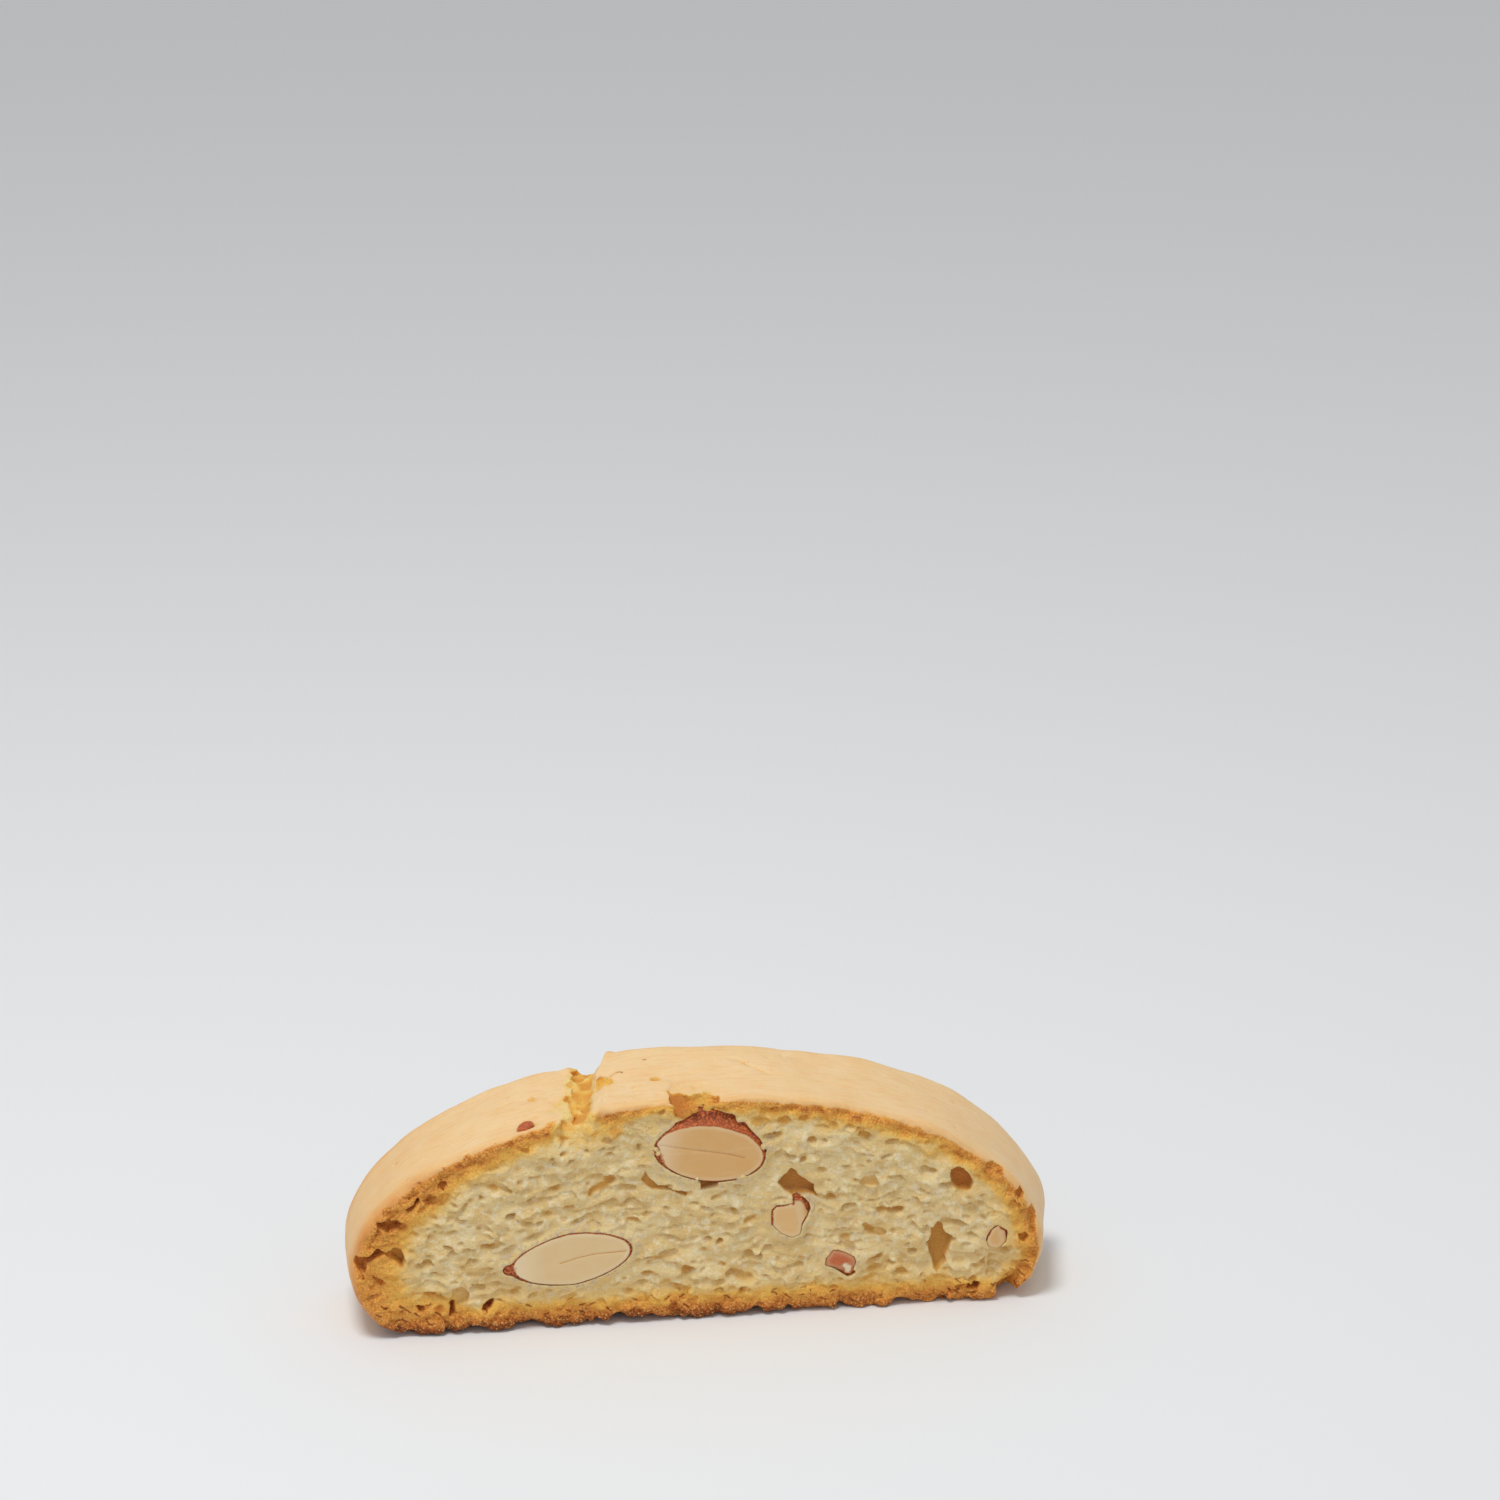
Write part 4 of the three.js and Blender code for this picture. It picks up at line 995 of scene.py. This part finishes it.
class Nodes:
    """Short calls for building one material's node tree."""

    def __init__(self, name):
        self.material = bpy.data.materials.new(name)
        self.material.use_nodes = True
        self.tree = self.material.node_tree
        self.shader = self.tree.nodes["Principled BSDF"]
        self.place = self.add("ShaderNodeTexCoord").outputs["Object"]

    def add(self, kind, **settings):
        node = self.tree.nodes.new(kind)
        for key, value in settings.items():
            setattr(node, key, value)
        return node

    def put(self, socket, value):
        if hasattr(value, "is_linked"):
            self.tree.links.new(value, socket)
        else:
            socket.default_value = value

    def attribute(self, name):
        return self.add("ShaderNodeAttribute", attribute_name=name).outputs["Fac"]

    def math(self, operation, *values):
        node = self.add("ShaderNodeMath", operation=operation)
        for socket, value in zip(node.inputs, values):
            self.put(socket, value)
        return node.outputs[0]

    def span(self, value, start, end, low=0.0, high=1.0):
        node = self.add("ShaderNodeMapRange", clamp=True, interpolation_type="SMOOTHSTEP")
        for socket, number in zip(node.inputs, (value, start, end, low, high)):
            self.put(socket, number)
        return node.outputs[0]

    def height(self):
        parts = self.add("ShaderNodeSeparateXYZ")
        self.put(parts.inputs[0], self.place)
        return parts.outputs[2]

    def grains(self, millimetres):
        """Distance from the middle of the nearest grain, and a number of that grain's own."""
        node = self.add("ShaderNodeTexVoronoi")
        self.put(node.inputs["Vector"], self.place)
        node.inputs["Scale"].default_value = 1 / (millimetres * MM)
        return node.outputs["Distance"], node.outputs["Color"]

    def dashes(self, apart, half_length, half_width, turn, least):
        """Short strokes in the plane of the faces, one in each cell whose own number is over least."""
        cells = self.add("ShaderNodeTexVoronoi")
        self.put(cells.inputs["Vector"], self.place)
        cells.inputs["Scale"].default_value = 1 / (apart * MM)
        away = self.add("ShaderNodeVectorMath", operation="SUBTRACT")
        self.put(away.inputs[0], self.place)
        self.put(away.inputs[1], cells.outputs["Position"])
        parts = self.add("ShaderNodeSeparateXYZ")
        self.put(parts.inputs[0], away.outputs[0])
        across, up = parts.outputs[0], parts.outputs[2]
        along = self.math("MULTIPLY_ADD", up, -math.sin(turn), self.math("MULTIPLY", across, math.cos(turn)))
        beside = self.math("MULTIPLY_ADD", up, math.cos(turn), self.math("MULTIPLY", across, math.sin(turn)))
        bend = self.math("MULTIPLY", self.math("SUBTRACT", self.noise(0.7, 1.0), 0.5), 0.5 * MM)
        beside = self.math("ABSOLUTE", self.math("ADD", beside, bend))
        found = self.span(self.math("ABSOLUTE", along), half_length * MM, 0.7 * half_length * MM)
        found = self.math("MULTIPLY", found, self.span(beside, half_width * MM, 0.4 * half_width * MM))
        return self.math("MULTIPLY", found, self.span(cells.outputs["Color"], least, least + 0.02))

    def noise(self, millimetres, detail, rough=0.5, stretch=(1, 1, 1)):
        """Noise of a size, drawn out by stretch."""
        mapping = self.add("ShaderNodeMapping", vector_type="TEXTURE")
        self.put(mapping.inputs["Vector"], self.place)
        mapping.inputs["Scale"].default_value = stretch
        node = self.add("ShaderNodeTexNoise")
        self.put(node.inputs["Vector"], mapping.outputs[0])
        node.inputs["Scale"].default_value = 1 / (millimetres * MM)
        node.inputs["Detail"].default_value = detail
        node.inputs["Roughness"].default_value = rough
        return node.outputs["Fac"]

    def blend(self, share, a, b):
        """Colour a where share is 0, b where it is 1."""
        node = self.add("ShaderNodeMix", data_type="RGBA", clamp_factor=True)
        self.put(node.inputs[0], share)
        self.put(node.inputs[6], a)
        self.put(node.inputs[7], b)
        return node.outputs[2]

    def steps(self, value, stops):
        """A colour that runs through stops, each a value and its colour."""
        node = self.add("ShaderNodeValToRGB")
        band = node.color_ramp
        while len(band.elements) < len(stops):
            band.elements.new(0.5)
        for element, (place, colour) in zip(band.elements, stops):
            element.position = place
            element.color = colour
        self.put(node.inputs[0], value)
        return node.outputs[0]

    def bump(self, height, distance):
        node = self.add("ShaderNodeBump")
        node.inputs["Distance"].default_value = distance * MM
        self.put(node.inputs["Height"], height)
        self.put(self.shader.inputs["Normal"], node.outputs[0])


def rgb(red, green, blue):
    """A colour given as it looks on a screen, 0 to 255, as Blender's linear values."""
    values = [c / 255 for c in (red, green, blue)]
    return tuple(c / 12.92 if c <= 0.04045 else ((c + 0.055) / 1.055) ** 2.4 for c in values) + (1.0,)


CRUMB = rgb(244, 218, 162)
CRUMB_YELLOWER = rgb(234, 201, 136)
CRUMB_PAINTED_HIGHLIGHT = rgb(252, 237, 201)
CRUMB_BY_ALMONDS = rgb(186, 148, 120)
PAINTED_BUBBLE_SHADE = rgb(202, 150, 66)
BUBBLE_AMBER_AND_SHADE = ((0.0, rgb(232, 196, 122)), (0.5, rgb(214, 160, 78)), (1.0, rgb(186, 104, 38)))
TORN_CRUMB = ((0.05, rgb(250, 216, 136)), (0.4, rgb(244, 188, 82)), (0.75, rgb(212, 138, 66)))
TOAST = (
    (0.0, rgb(245, 215, 144)), (0.3, rgb(249, 195, 92)), (0.6, rgb(243, 166, 74)),
    (0.85, rgb(208, 124, 52)), (1.0, rgb(140, 74, 30)),
)
TOAST_SHADE_BETWEEN_GRAINS = rgb(150, 78, 30)
TOAST_TIP_HIGHLIGHT = rgb(255, 208, 132)
TOAST_IN_SHADED_BUBBLES = rgb(190, 102, 36)
TOAST_SLITS = rgb(154, 78, 28)
CRUST = (
    (0.0, rgb(247, 213, 162)), (0.35, rgb(242, 196, 132)), (0.7, rgb(230, 158, 80)),
    (1.0, rgb(196, 118, 52)),
)
CRUST_STREAKS = rgb(232, 174, 104)
FLESH = ((0.0, rgb(236, 212, 164)), (0.7, rgb(230, 180, 112)), (1.0, rgb(196, 134, 70)))
FLESH_BROAD = rgb(228, 192, 132)
FLESH_SAWN = rgb(242, 224, 184)
FLESH_PALE = rgb(246, 226, 192)
HUSK = ((0.3, rgb(88, 32, 12)), (0.5, rgb(168, 70, 20)), (0.68, rgb(246, 142, 62)))
HUSK_RED = rgb(214, 114, 62)


def dough_material():
    n = Nodes("baked_dough")
    skin, toast, hollow = n.attribute("skin"), n.attribute("toast"), n.attribute("hollow")
    browning_and_shade, cracked, ash = n.attribute("browning_and_shade"), n.attribute("cracked"), n.attribute("ash")
    coarse = n.noise(4.0, 3.0)
    medium = n.noise(1.1, 3.0, 0.6)
    fine = n.noise(0.5, 3.0, 0.6)
    grain, own = n.grains(0.42)

    # Crumb: cream, with painted shade of olive-yellow down in the bubbles, and amber in the larger ones that
    # is partly browning and partly painted shade.
    crumb = n.blend(n.span(coarse, 0.3, 0.7), CRUMB, CRUMB_YELLOWER)
    # Painted highlight: crumb that the bump's medium noise raises is paler.
    crumb = n.blend(n.span(medium, 0.48, 0.66, 0.0, 0.65), crumb, CRUMB_PAINTED_HIGHLIGHT)
    crumb = n.blend(hollow, crumb, PAINTED_BUBBLE_SHADE)
    crumb = n.blend(n.span(browning_and_shade, 0.05, 0.6), crumb, n.steps(browning_and_shade, BUBBLE_AMBER_AND_SHADE))
    crumb = n.blend(n.math("MULTIPLY", cracked, 0.9), crumb, n.steps(browning_and_shade, TORN_CRUMB))
    ashy = n.math("MULTIPLY", n.span(medium, 0.48, 0.62, 0.0, 0.55), ash)
    crumb = n.blend(ashy, crumb, CRUMB_BY_ALMONDS)

    # Toasting runs from yellow through gold to brown, unevenly.
    uneven = n.math("MULTIPLY_ADD", n.math("SUBTRACT", fine, 0.5), 0.6, toast)
    uneven = n.math("MULTIPLY_ADD", n.math("SUBTRACT", coarse, 0.5), 0.25, uneven)
    uneven = n.math("MULTIPLY_ADD", browning_and_shade, 0.2, uneven)
    toasted = n.steps(uneven, TOAST)
    # Its grains have painted shade in brown between them, and painted highlights on the tips of some.
    between = n.math("MULTIPLY", n.span(grain, 0.5, 0.9), n.span(toast, 0.3, 0.9, 0.1, 0.75))
    toasted = n.blend(between, toasted, TOAST_SHADE_BETWEEN_GRAINS)
    tips = n.math("MULTIPLY", n.span(grain, 0.45, 0.15), n.span(own, 0.3, 0.55))
    tips = n.math("MULTIPLY", tips, n.span(toast, 0.3, 0.8, 0.1, 0.85))
    toasted = n.blend(tips, toasted, TOAST_TIP_HIGHLIGHT)
    # Painted shade in part: bubbles in the toast are browner inside.
    toasted = n.blend(n.span(browning_and_shade, 0.35, 1.0, 0.0, 0.85), toasted, TOAST_IN_SHADED_BUBBLES)
    slits = n.math("MAXIMUM", n.dashes(2.2, 0.7, 0.22, 0.6, 0.5), n.dashes(2.8, 0.6, 0.2, -0.3, 0.55))
    slits = n.math("MULTIPLY", slits, n.span(toast, 0.12, 0.4, 0.0, 0.85))
    slits = n.math("MULTIPLY", slits, n.span(n.height(), 9 * MM, 6 * MM))
    cut = n.blend(n.span(toast, 0.0, 0.35), crumb, toasted)
    cut = n.blend(slits, cut, TOAST_SLITS)

    # The skin over the loaf: pale peach with finer streaks, more golden where toast is high.
    streaks = n.noise(0.5, 3.0, 0.6, stretch=(8.0, 1.0, 8.0))
    mottled = n.math("MULTIPLY_ADD", n.math("SUBTRACT", coarse, 0.5), 0.4, toast)
    mottled = n.math("MULTIPLY_ADD", n.math("SUBTRACT", medium, 0.5), 0.15, mottled)
    crust = n.steps(mottled, CRUST)
    crust = n.blend(n.span(streaks, 0.45, 0.75, 0.0, 0.35), crust, CRUST_STREAKS)
    n.put(n.shader.inputs["Base Color"], n.blend(n.span(skin, 0.2, 0.8), cut, crust))

    n.put(n.shader.inputs["Roughness"], n.span(skin, 0.3, 0.7, 0.85, 0.5))
    n.shader.inputs["Specular IOR Level"].default_value = 0.35
    n.shader.inputs["Subsurface Weight"].default_value = 0.22
    n.shader.inputs["Subsurface Radius"].default_value = (1.0, 0.55, 0.25)
    n.shader.inputs["Subsurface Scale"].default_value = 1.2 * MM
    # Each part of the relief is about its own mean, so that none steps where it fades.
    middle = 0.5
    height = n.math("MULTIPLY", n.math("SUBTRACT", fine, middle), 0.8)
    height = n.math("MULTIPLY_ADD", n.math("SUBTRACT", medium, middle), 0.9, height)
    sunk = n.math("SUBTRACT", middle, grain)
    height = n.math("MULTIPLY_ADD", sunk, n.span(toast, 0.1, 0.6, 0.0, 0.8), height)
    streaked = n.math("SUBTRACT", streaks, middle)
    height = n.math("MULTIPLY_ADD", streaked, n.span(skin, 0.3, 0.7, 0.0, 0.8), height)
    n.bump(n.math("MULTIPLY", height, n.span(skin, 0.2, 0.8, 1.0, 0.16)), 0.45)
    return n.material


def almond_material():
    n = Nodes("almond")
    skin, tone, pale, red = (n.attribute(name) for name in ("skin", "tone", "pale", "red"))
    fine = n.noise(0.35, 3.0, 0.65)
    broad = n.noise(2.5, 2.0)
    sawn = n.noise(1.2, 3.0, 0.6, stretch=(5.0, 1.0, 0.7))
    flesh = n.blend(n.span(broad, 0.3, 0.8, 0.0, 0.3), n.steps(tone, FLESH), FLESH_BROAD)
    flesh = n.blend(n.span(sawn, 0.5, 0.8, 0.0, 0.15), flesh, FLESH_SAWN)
    flesh = n.blend(pale, flesh, FLESH_PALE)
    # The skin's colour follows the fine noise that also raises its bump: dark in the low parts and bright
    # orange on the raised ones, partly its own mottling and partly painted highlight.
    husk = n.blend(red, n.steps(fine, HUSK), HUSK_RED)
    n.put(n.shader.inputs["Base Color"], n.blend(skin, flesh, husk))
    n.put(n.shader.inputs["Roughness"], n.span(skin, 0.2, 0.8, 0.38, 0.5))
    n.shader.inputs["Subsurface Weight"].default_value = 0.15
    n.shader.inputs["Subsurface Radius"].default_value = (1.0, 0.6, 0.3)
    n.shader.inputs["Subsurface Scale"].default_value = 1.5 * MM
    n.bump(n.math("MULTIPLY", fine, n.span(skin, 0.2, 0.8, 0.1, 1.0)), 0.25)
    return n.material


# ------------------------------------------------------------------ pieces


def toasting(x, y, z, uneven, skin, in_crack):
    """How toasted each point is, from 0 to about 1: by the rims and base in the faces, and on the skin."""
    rim, into, width = depth_in_crust(x, y, z), FACE - np.abs(y), rim_width(x)
    near_rim = ramp(rim + 0.8 * uneven, 1.5 * width, 0.1 * width)
    halo = ramp(rim + 1.2 * uneven, 1.7 * width + 3.0, 0.7 * width)
    by_rim = (0.46 * np.interp(x, *RIM_BROWN) * near_rim**1.2 + 0.2 * halo) * (1 - 0.8 * in_crack)
    by_rim *= 1 - 0.7 * ramp(into, 1.5, 3.5)
    # More where the crack meets the faces.
    by_rim += 0.16 * ramp(np.hypot(x + 20, z - 34), 7.5, 2) * ramp(into, 5, 2)
    near_base = ramp(z + 0.8 * uneven, 6.4, 0.2)
    by_base = np.interp(x, *BASE_BROWN) * near_base**1.5 + 0.17 * ramp(z + 1.2 * uneven, 10.0, 4.0)
    toast = np.maximum(by_rim, by_base)
    # The skin is more golden by the faces, low down and at the left end.
    end = ramp(x, -36, -54)
    glow = 0.1 + (0.34 + 0.1 * end) * ramp(into, 2.6 + 2.5 * end, 0.2) + 0.3 * ramp(into, 0.9, 0.2)
    glow += 0.14 * ramp(z, 20, 5) + 0.14 * end + 0.06 * ramp(x, -50, -56)
    return toast + ramp(skin, 0.3, 0.9) * (glow - toast)


def dough_tints(dough, where):
    """What the dough's material goes by at each vertex: ash beside almonds, the skin over the loaf,
    toast, how deep in a hollow it is, for painted shade, how browned and painted-shaded, and whether it is
    crumb bared by a break."""
    block = dough.block
    x, y, z = where.T
    rim, into = depth_in_crust(x, y, z), FACE - np.abs(y)
    # How enclosed by dough each vertex is, from blurs of the solid round it, drives painted shade in the
    # hollows.
    solid = np.clip(0.5 - dough.values / block.cell, 0, 1)
    close = block.at(block.blur(solid, 0.4), where)
    wide = block.at(block.blur(solid, 1.1), where)
    uneven = block.at(dough.warp[0], where) + 0.5 * block.at(dough.fine_warp[0], where)
    browning_and_shade = block.at(dough.browning_and_shade, where)
    skin = ramp(rim + 0.2 * uneven, 1.1, 0.5) * ramp(into + 0.2 * uneven, 0.1, 0.7) * ramp(z, 1.0, 4.0)
    skin *= 1 - 0.85 * ramp(browning_and_shade, 0.12, 0.35)
    # Painted shade: walls well in from a face and enclosed by dough get a brown tint, and the tint is kept
    # off the face's own plane below the top.
    deep = ramp(into, 1.4, 3.0) * ramp(rim, 1.0, 2.2) * ramp(wide, 0.4, 0.6)
    open_air = np.maximum(ramp(into, 0.3, 1.2), ramp(z, 30, 32))
    browning_and_shade = np.maximum(browning_and_shade * open_air, 0.6 * deep)
    pitted = ramp(browning_and_shade, 0.12, 0.4) * ramp(into, 0.8, 1.6) * ramp(rim, 4.5, 3.0) * ramp(z, 22, 26)
    around_crack = ramp(np.abs(x - crack_x(y) - CRACK_MIDDLE) + 1.2 * uneven, 6.5, 1.5)
    around_crack *= ramp(rim + 1.2 * uneven, 7.0, 1.5) * ramp(rim, 0.2, 0.8) * ramp(z, 26, 28)
    return {
        "ash": ramp(block.at(dough.almond, where), 1.7, 0.2) * ramp(into, 3.0, 1.5),
        "skin": skin,
        "toast": toasting(x, y, z, uneven, skin, block.at(dough.in_crack, where)),
        # Painted shade in the bubbles, strongest where the dough closes round.
        "hollow": np.clip(1.1 * ramp(close, 0.55, 0.85) + 0.6 * ramp(wide, 0.58, 0.9), 0, 1),
        "browning_and_shade": browning_and_shade,
        "cracked": np.maximum(around_crack, pitted),
    }


def make_dough():
    dough = carved_dough()
    points, faces = dough.block.surface(dough.values)
    piece = object_from("biscotti_dough", points, faces, DOUGH_TRIANGLES)
    dress(piece, dough_tints(dough, vertex_places(piece)), dough_material())
    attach(piece, "root")
    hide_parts("biscotti_slice")


def nearest(places, points, step=2000):
    """How far each place is from the nearest of some points, both in a face."""
    found = np.full(len(places), 9.0)
    for start in range(0, len(places) if len(points) else 0, step):
        part = places[start:start + step, None] - points
        found[start:start + step] = np.sqrt((part**2).sum(2).min(1))
    return found


def outline_of(block, values, face):
    """Points along the outline of a piece's cut, just inside the face."""
    inside = values[:, round((face - math.copysign(0.3, face) - block.low[1]) / block.cell)] < -0.02
    ring = inside & ~(
        np.roll(inside, 1, 0) & np.roll(inside, -1, 0) & np.roll(inside, 1, 1) & np.roll(inside, -1, 1)
    )
    i, k = np.nonzero(ring)
    return np.column_stack([block.line(0)[i], block.line(2)[k]])


def stroke(flat, corners, width, inner, rough=0.0):
    """1 along a line through points of the face, from an inner share of its width, to 0 at its width."""
    return ramp(line_distance(*flat.T, corners) + rough, width, inner * width)


def kernel_skin(node, where, rough):
    """On a whole almond: its skin, how far each vertex is inside the cut's outline, how pale its left
    end is, and how red the skin that is bared above the cut, which is lightest next to the flesh."""
    middle_y = KERNELS[node]["middle"][1]
    long, deep, _ = KERNELS[node]["half"]
    u, v, outwards, steepness = kernel_place(node, where[:, 0], where[:, 2])
    level = np.sqrt(outwards) + 1e-6
    slope = np.sqrt(steepness) / level
    inwards = (math.sqrt(1 - ((FACE + middle_y) / deep) ** 2) - level) / np.maximum(slope, 0.05)
    thin, thick = LOOKS[node]["edge"]
    line = thin + (thick - thin) * ramp(u, -0.55 * long, -0.85 * long) * ramp(v, 0.8, -0.4)
    skin = ramp(inwards + 0.5 * rough, line + 0.06, line - 0.06)
    skin = np.maximum(skin, ramp(where[:, 1], -FACE + 0.5, -FACE + 0.8))
    pale = 0.6 * ramp(u, -0.3 * long, -0.8 * long)
    return skin, np.maximum(inwards, 0), pale, 0.32 * ramp(inwards, -1.8, -0.2) * ramp(v, 1.5, 3.5)


def almond_tints(node, where, edge, face, whole):
    """What the almonds' material goes by at each vertex, by the piece's look. edge is how far the
    vertex is from the outline of the piece's cut."""
    look = LOOKS.get(node, {})
    flat = where[:, ::2]
    on_cut = ramp(np.abs(where[:, 1] - face), 0.62, 0.5)
    rough = 0.1 * noise_2d(flat[:, 0] / 0.9, flat[:, 1] / 0.9, 83)
    pale_end, red = 0.0, look.get("red", 0.0)
    if node in KERNELS:
        skin, edge, pale_end, red = kernel_skin(node, where, rough)
    elif node in CHIPS:
        on_cut, skin = np.ones(len(where)), np.zeros(len(where))
    else:
        line = 0.16 if whole else -0.2
        skin = np.maximum(1 - on_cut, ramp(edge + rough, line + 0.14, line))
    for width, corners in look.get("skin", ()):
        skin = np.maximum(skin, on_cut * stroke(flat, corners, width, 0.6, rough))
    pale = np.maximum(0.3 * on_cut * ramp(edge, 0.9, 0.2), pale_end)
    for width, corners in look.get("pale", ()):
        spot = stroke(flat, corners, width, 0.6, 0.5 * rough)
        skin, pale = skin * (1 - spot), np.maximum(pale, spot)
    dark = np.zeros(len(where))
    for width, corners in look.get("dark", ()):
        dark = np.maximum(dark, stroke(flat, corners, width, 0.5, rough))
    tone = np.full(len(where), look.get("tone", 0.3))
    for width, corners in look.get("seam", ()):
        tone = np.maximum(tone, on_cut * stroke(flat, corners, width, 0))
    return {
        "skin": np.maximum(skin, look.get("husk", 0.0) * (1 - pale)),
        "tone": tone,
        "pale": pale * (1 - skin),
        "red": red * (1 - dark),
    }


def make_almond(node, material):
    """A CAD almond piece with finer, softened form, a skin all round and flesh on its cut."""
    low, high = (np.array(corner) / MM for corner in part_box(node))
    whole = high[0] - low[0] > WHOLE_ALMOND
    look = LOOKS.get(node, {})
    block = Block.around(low - 2.4, high + 2.4, ALMOND_CELL if whole else CHIP_CELL)
    values = almond_shape(node, block)
    face = -FACE if low[1] + high[1] < 0 else FACE
    x, y, z = block.axes()
    inner = ramp(np.abs(y), FACE - 0.2, FACE - 0.7)
    wrinkle = 0.06 * block.noise((1.6, 1.0, 0.6), 81) + 0.05 * block.noise(0.4, 82)
    softened = block.blur(values, 0.15) + 0.02 + inner * wrinkle
    softened += (1 - inner) * 0.02 * block.noise((0.9, 0.9, 0.5), 84)
    for width, corners in look.get("seam", ()):
        softened += (1 - inner) * 0.14 * ramp(line_distance(x, z, corners), width, 0)
    points, faces = block.surface(softened)
    piece = object_from(node + "_dressed", points, faces, ALMOND_TRIANGLES if whole else CHIP_TRIANGLES)
    where = vertex_places(piece)
    edge = nearest(where[:, ::2], outline_of(block, values, face))
    dress(piece, almond_tints(node, where, edge, face, whole), material)
    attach(piece, "root")
    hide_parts(node)


# ------------------------------------------------------------------ stage, light and camera

# In metres, degrees and watts, but the lens and sensor in millimetres. The camera looks down by
# CAMERA_DOWN and is turned from +Y by CAMERA_TURN. These and its place were fitted to the
# photograph, for a lens that was taken to be 120 mm.
FLOOR_HALF = 2.5
FLOOR_COLOUR = (0.87, 0.885, 0.9, 1)
WORLD_STRENGTH = 0.5
LAMP_PLACE = (-0.16, -0.16, 0.75)
LAMP_TARGET = (0, 0, 0.02)
LAMP_SIZE = 0.25
LAMP_POWER = 2.7
LENS, SENSOR = 120.0, 36.0
CAMERA_PLACE = (-0.095586, -0.713138, 0.353411)
CAMERA_DOWN = 19.9725
CAMERA_TURN = -8.1927
FAR_CLIP = 20.0


def make_stage():
    mesh = bpy.data.meshes.new("floor")
    corners = [(FLOOR_HALF * x, FLOOR_HALF * y, 0) for x, y in ((-1, -1), (1, -1), (1, 1), (-1, 1))]
    mesh.from_pydata(corners, [], [(0, 1, 2, 3)])
    floor = bpy.data.objects.new("floor", mesh)
    bpy.context.scene.collection.objects.link(floor)
    n = Nodes("white_sweep")
    n.shader.inputs["Base Color"].default_value = FLOOR_COLOUR
    n.shader.inputs["Roughness"].default_value = 0.9
    n.shader.inputs["Specular IOR Level"].default_value = 0.1
    mesh.materials.append(n.material)


def light_scene():
    world = bpy.data.worlds.new("studio")
    bpy.context.scene.world = world
    world.use_nodes = True
    background = world.node_tree.nodes["Background"]
    background.inputs["Color"].default_value = (1, 1, 1, 1)
    background.inputs["Strength"].default_value = WORLD_STRENGTH
    lamp = bpy.data.lights.new("overhead", "AREA")
    lamp.shape = "DISK"
    lamp.size = LAMP_SIZE
    lamp.energy = LAMP_POWER
    light = bpy.data.objects.new("overhead", lamp)
    light.location = LAMP_PLACE
    light.rotation_euler = (Vector(LAMP_TARGET) - Vector(LAMP_PLACE)).to_track_quat("-Z", "Y").to_euler()
    bpy.context.scene.collection.objects.link(light)
    bpy.context.scene.view_settings.view_transform = "Standard"
    bpy.context.scene.view_settings.look = "None"


def place_camera():
    lens = bpy.data.cameras.new("camera")
    lens.lens = LENS
    lens.sensor_width = SENSOR
    lens.clip_end = FAR_CLIP
    camera = bpy.data.objects.new("camera", lens)
    camera.location = CAMERA_PLACE
    camera.rotation_euler = (math.radians(90 - CAMERA_DOWN), 0, math.radians(CAMERA_TURN))
    bpy.context.scene.collection.objects.link(camera)
    bpy.context.scene.camera = camera


make_stage()
place_camera()
light_scene()
make_dough()
almond = almond_material()
for node in ALMONDS:
    make_almond(node, almond)
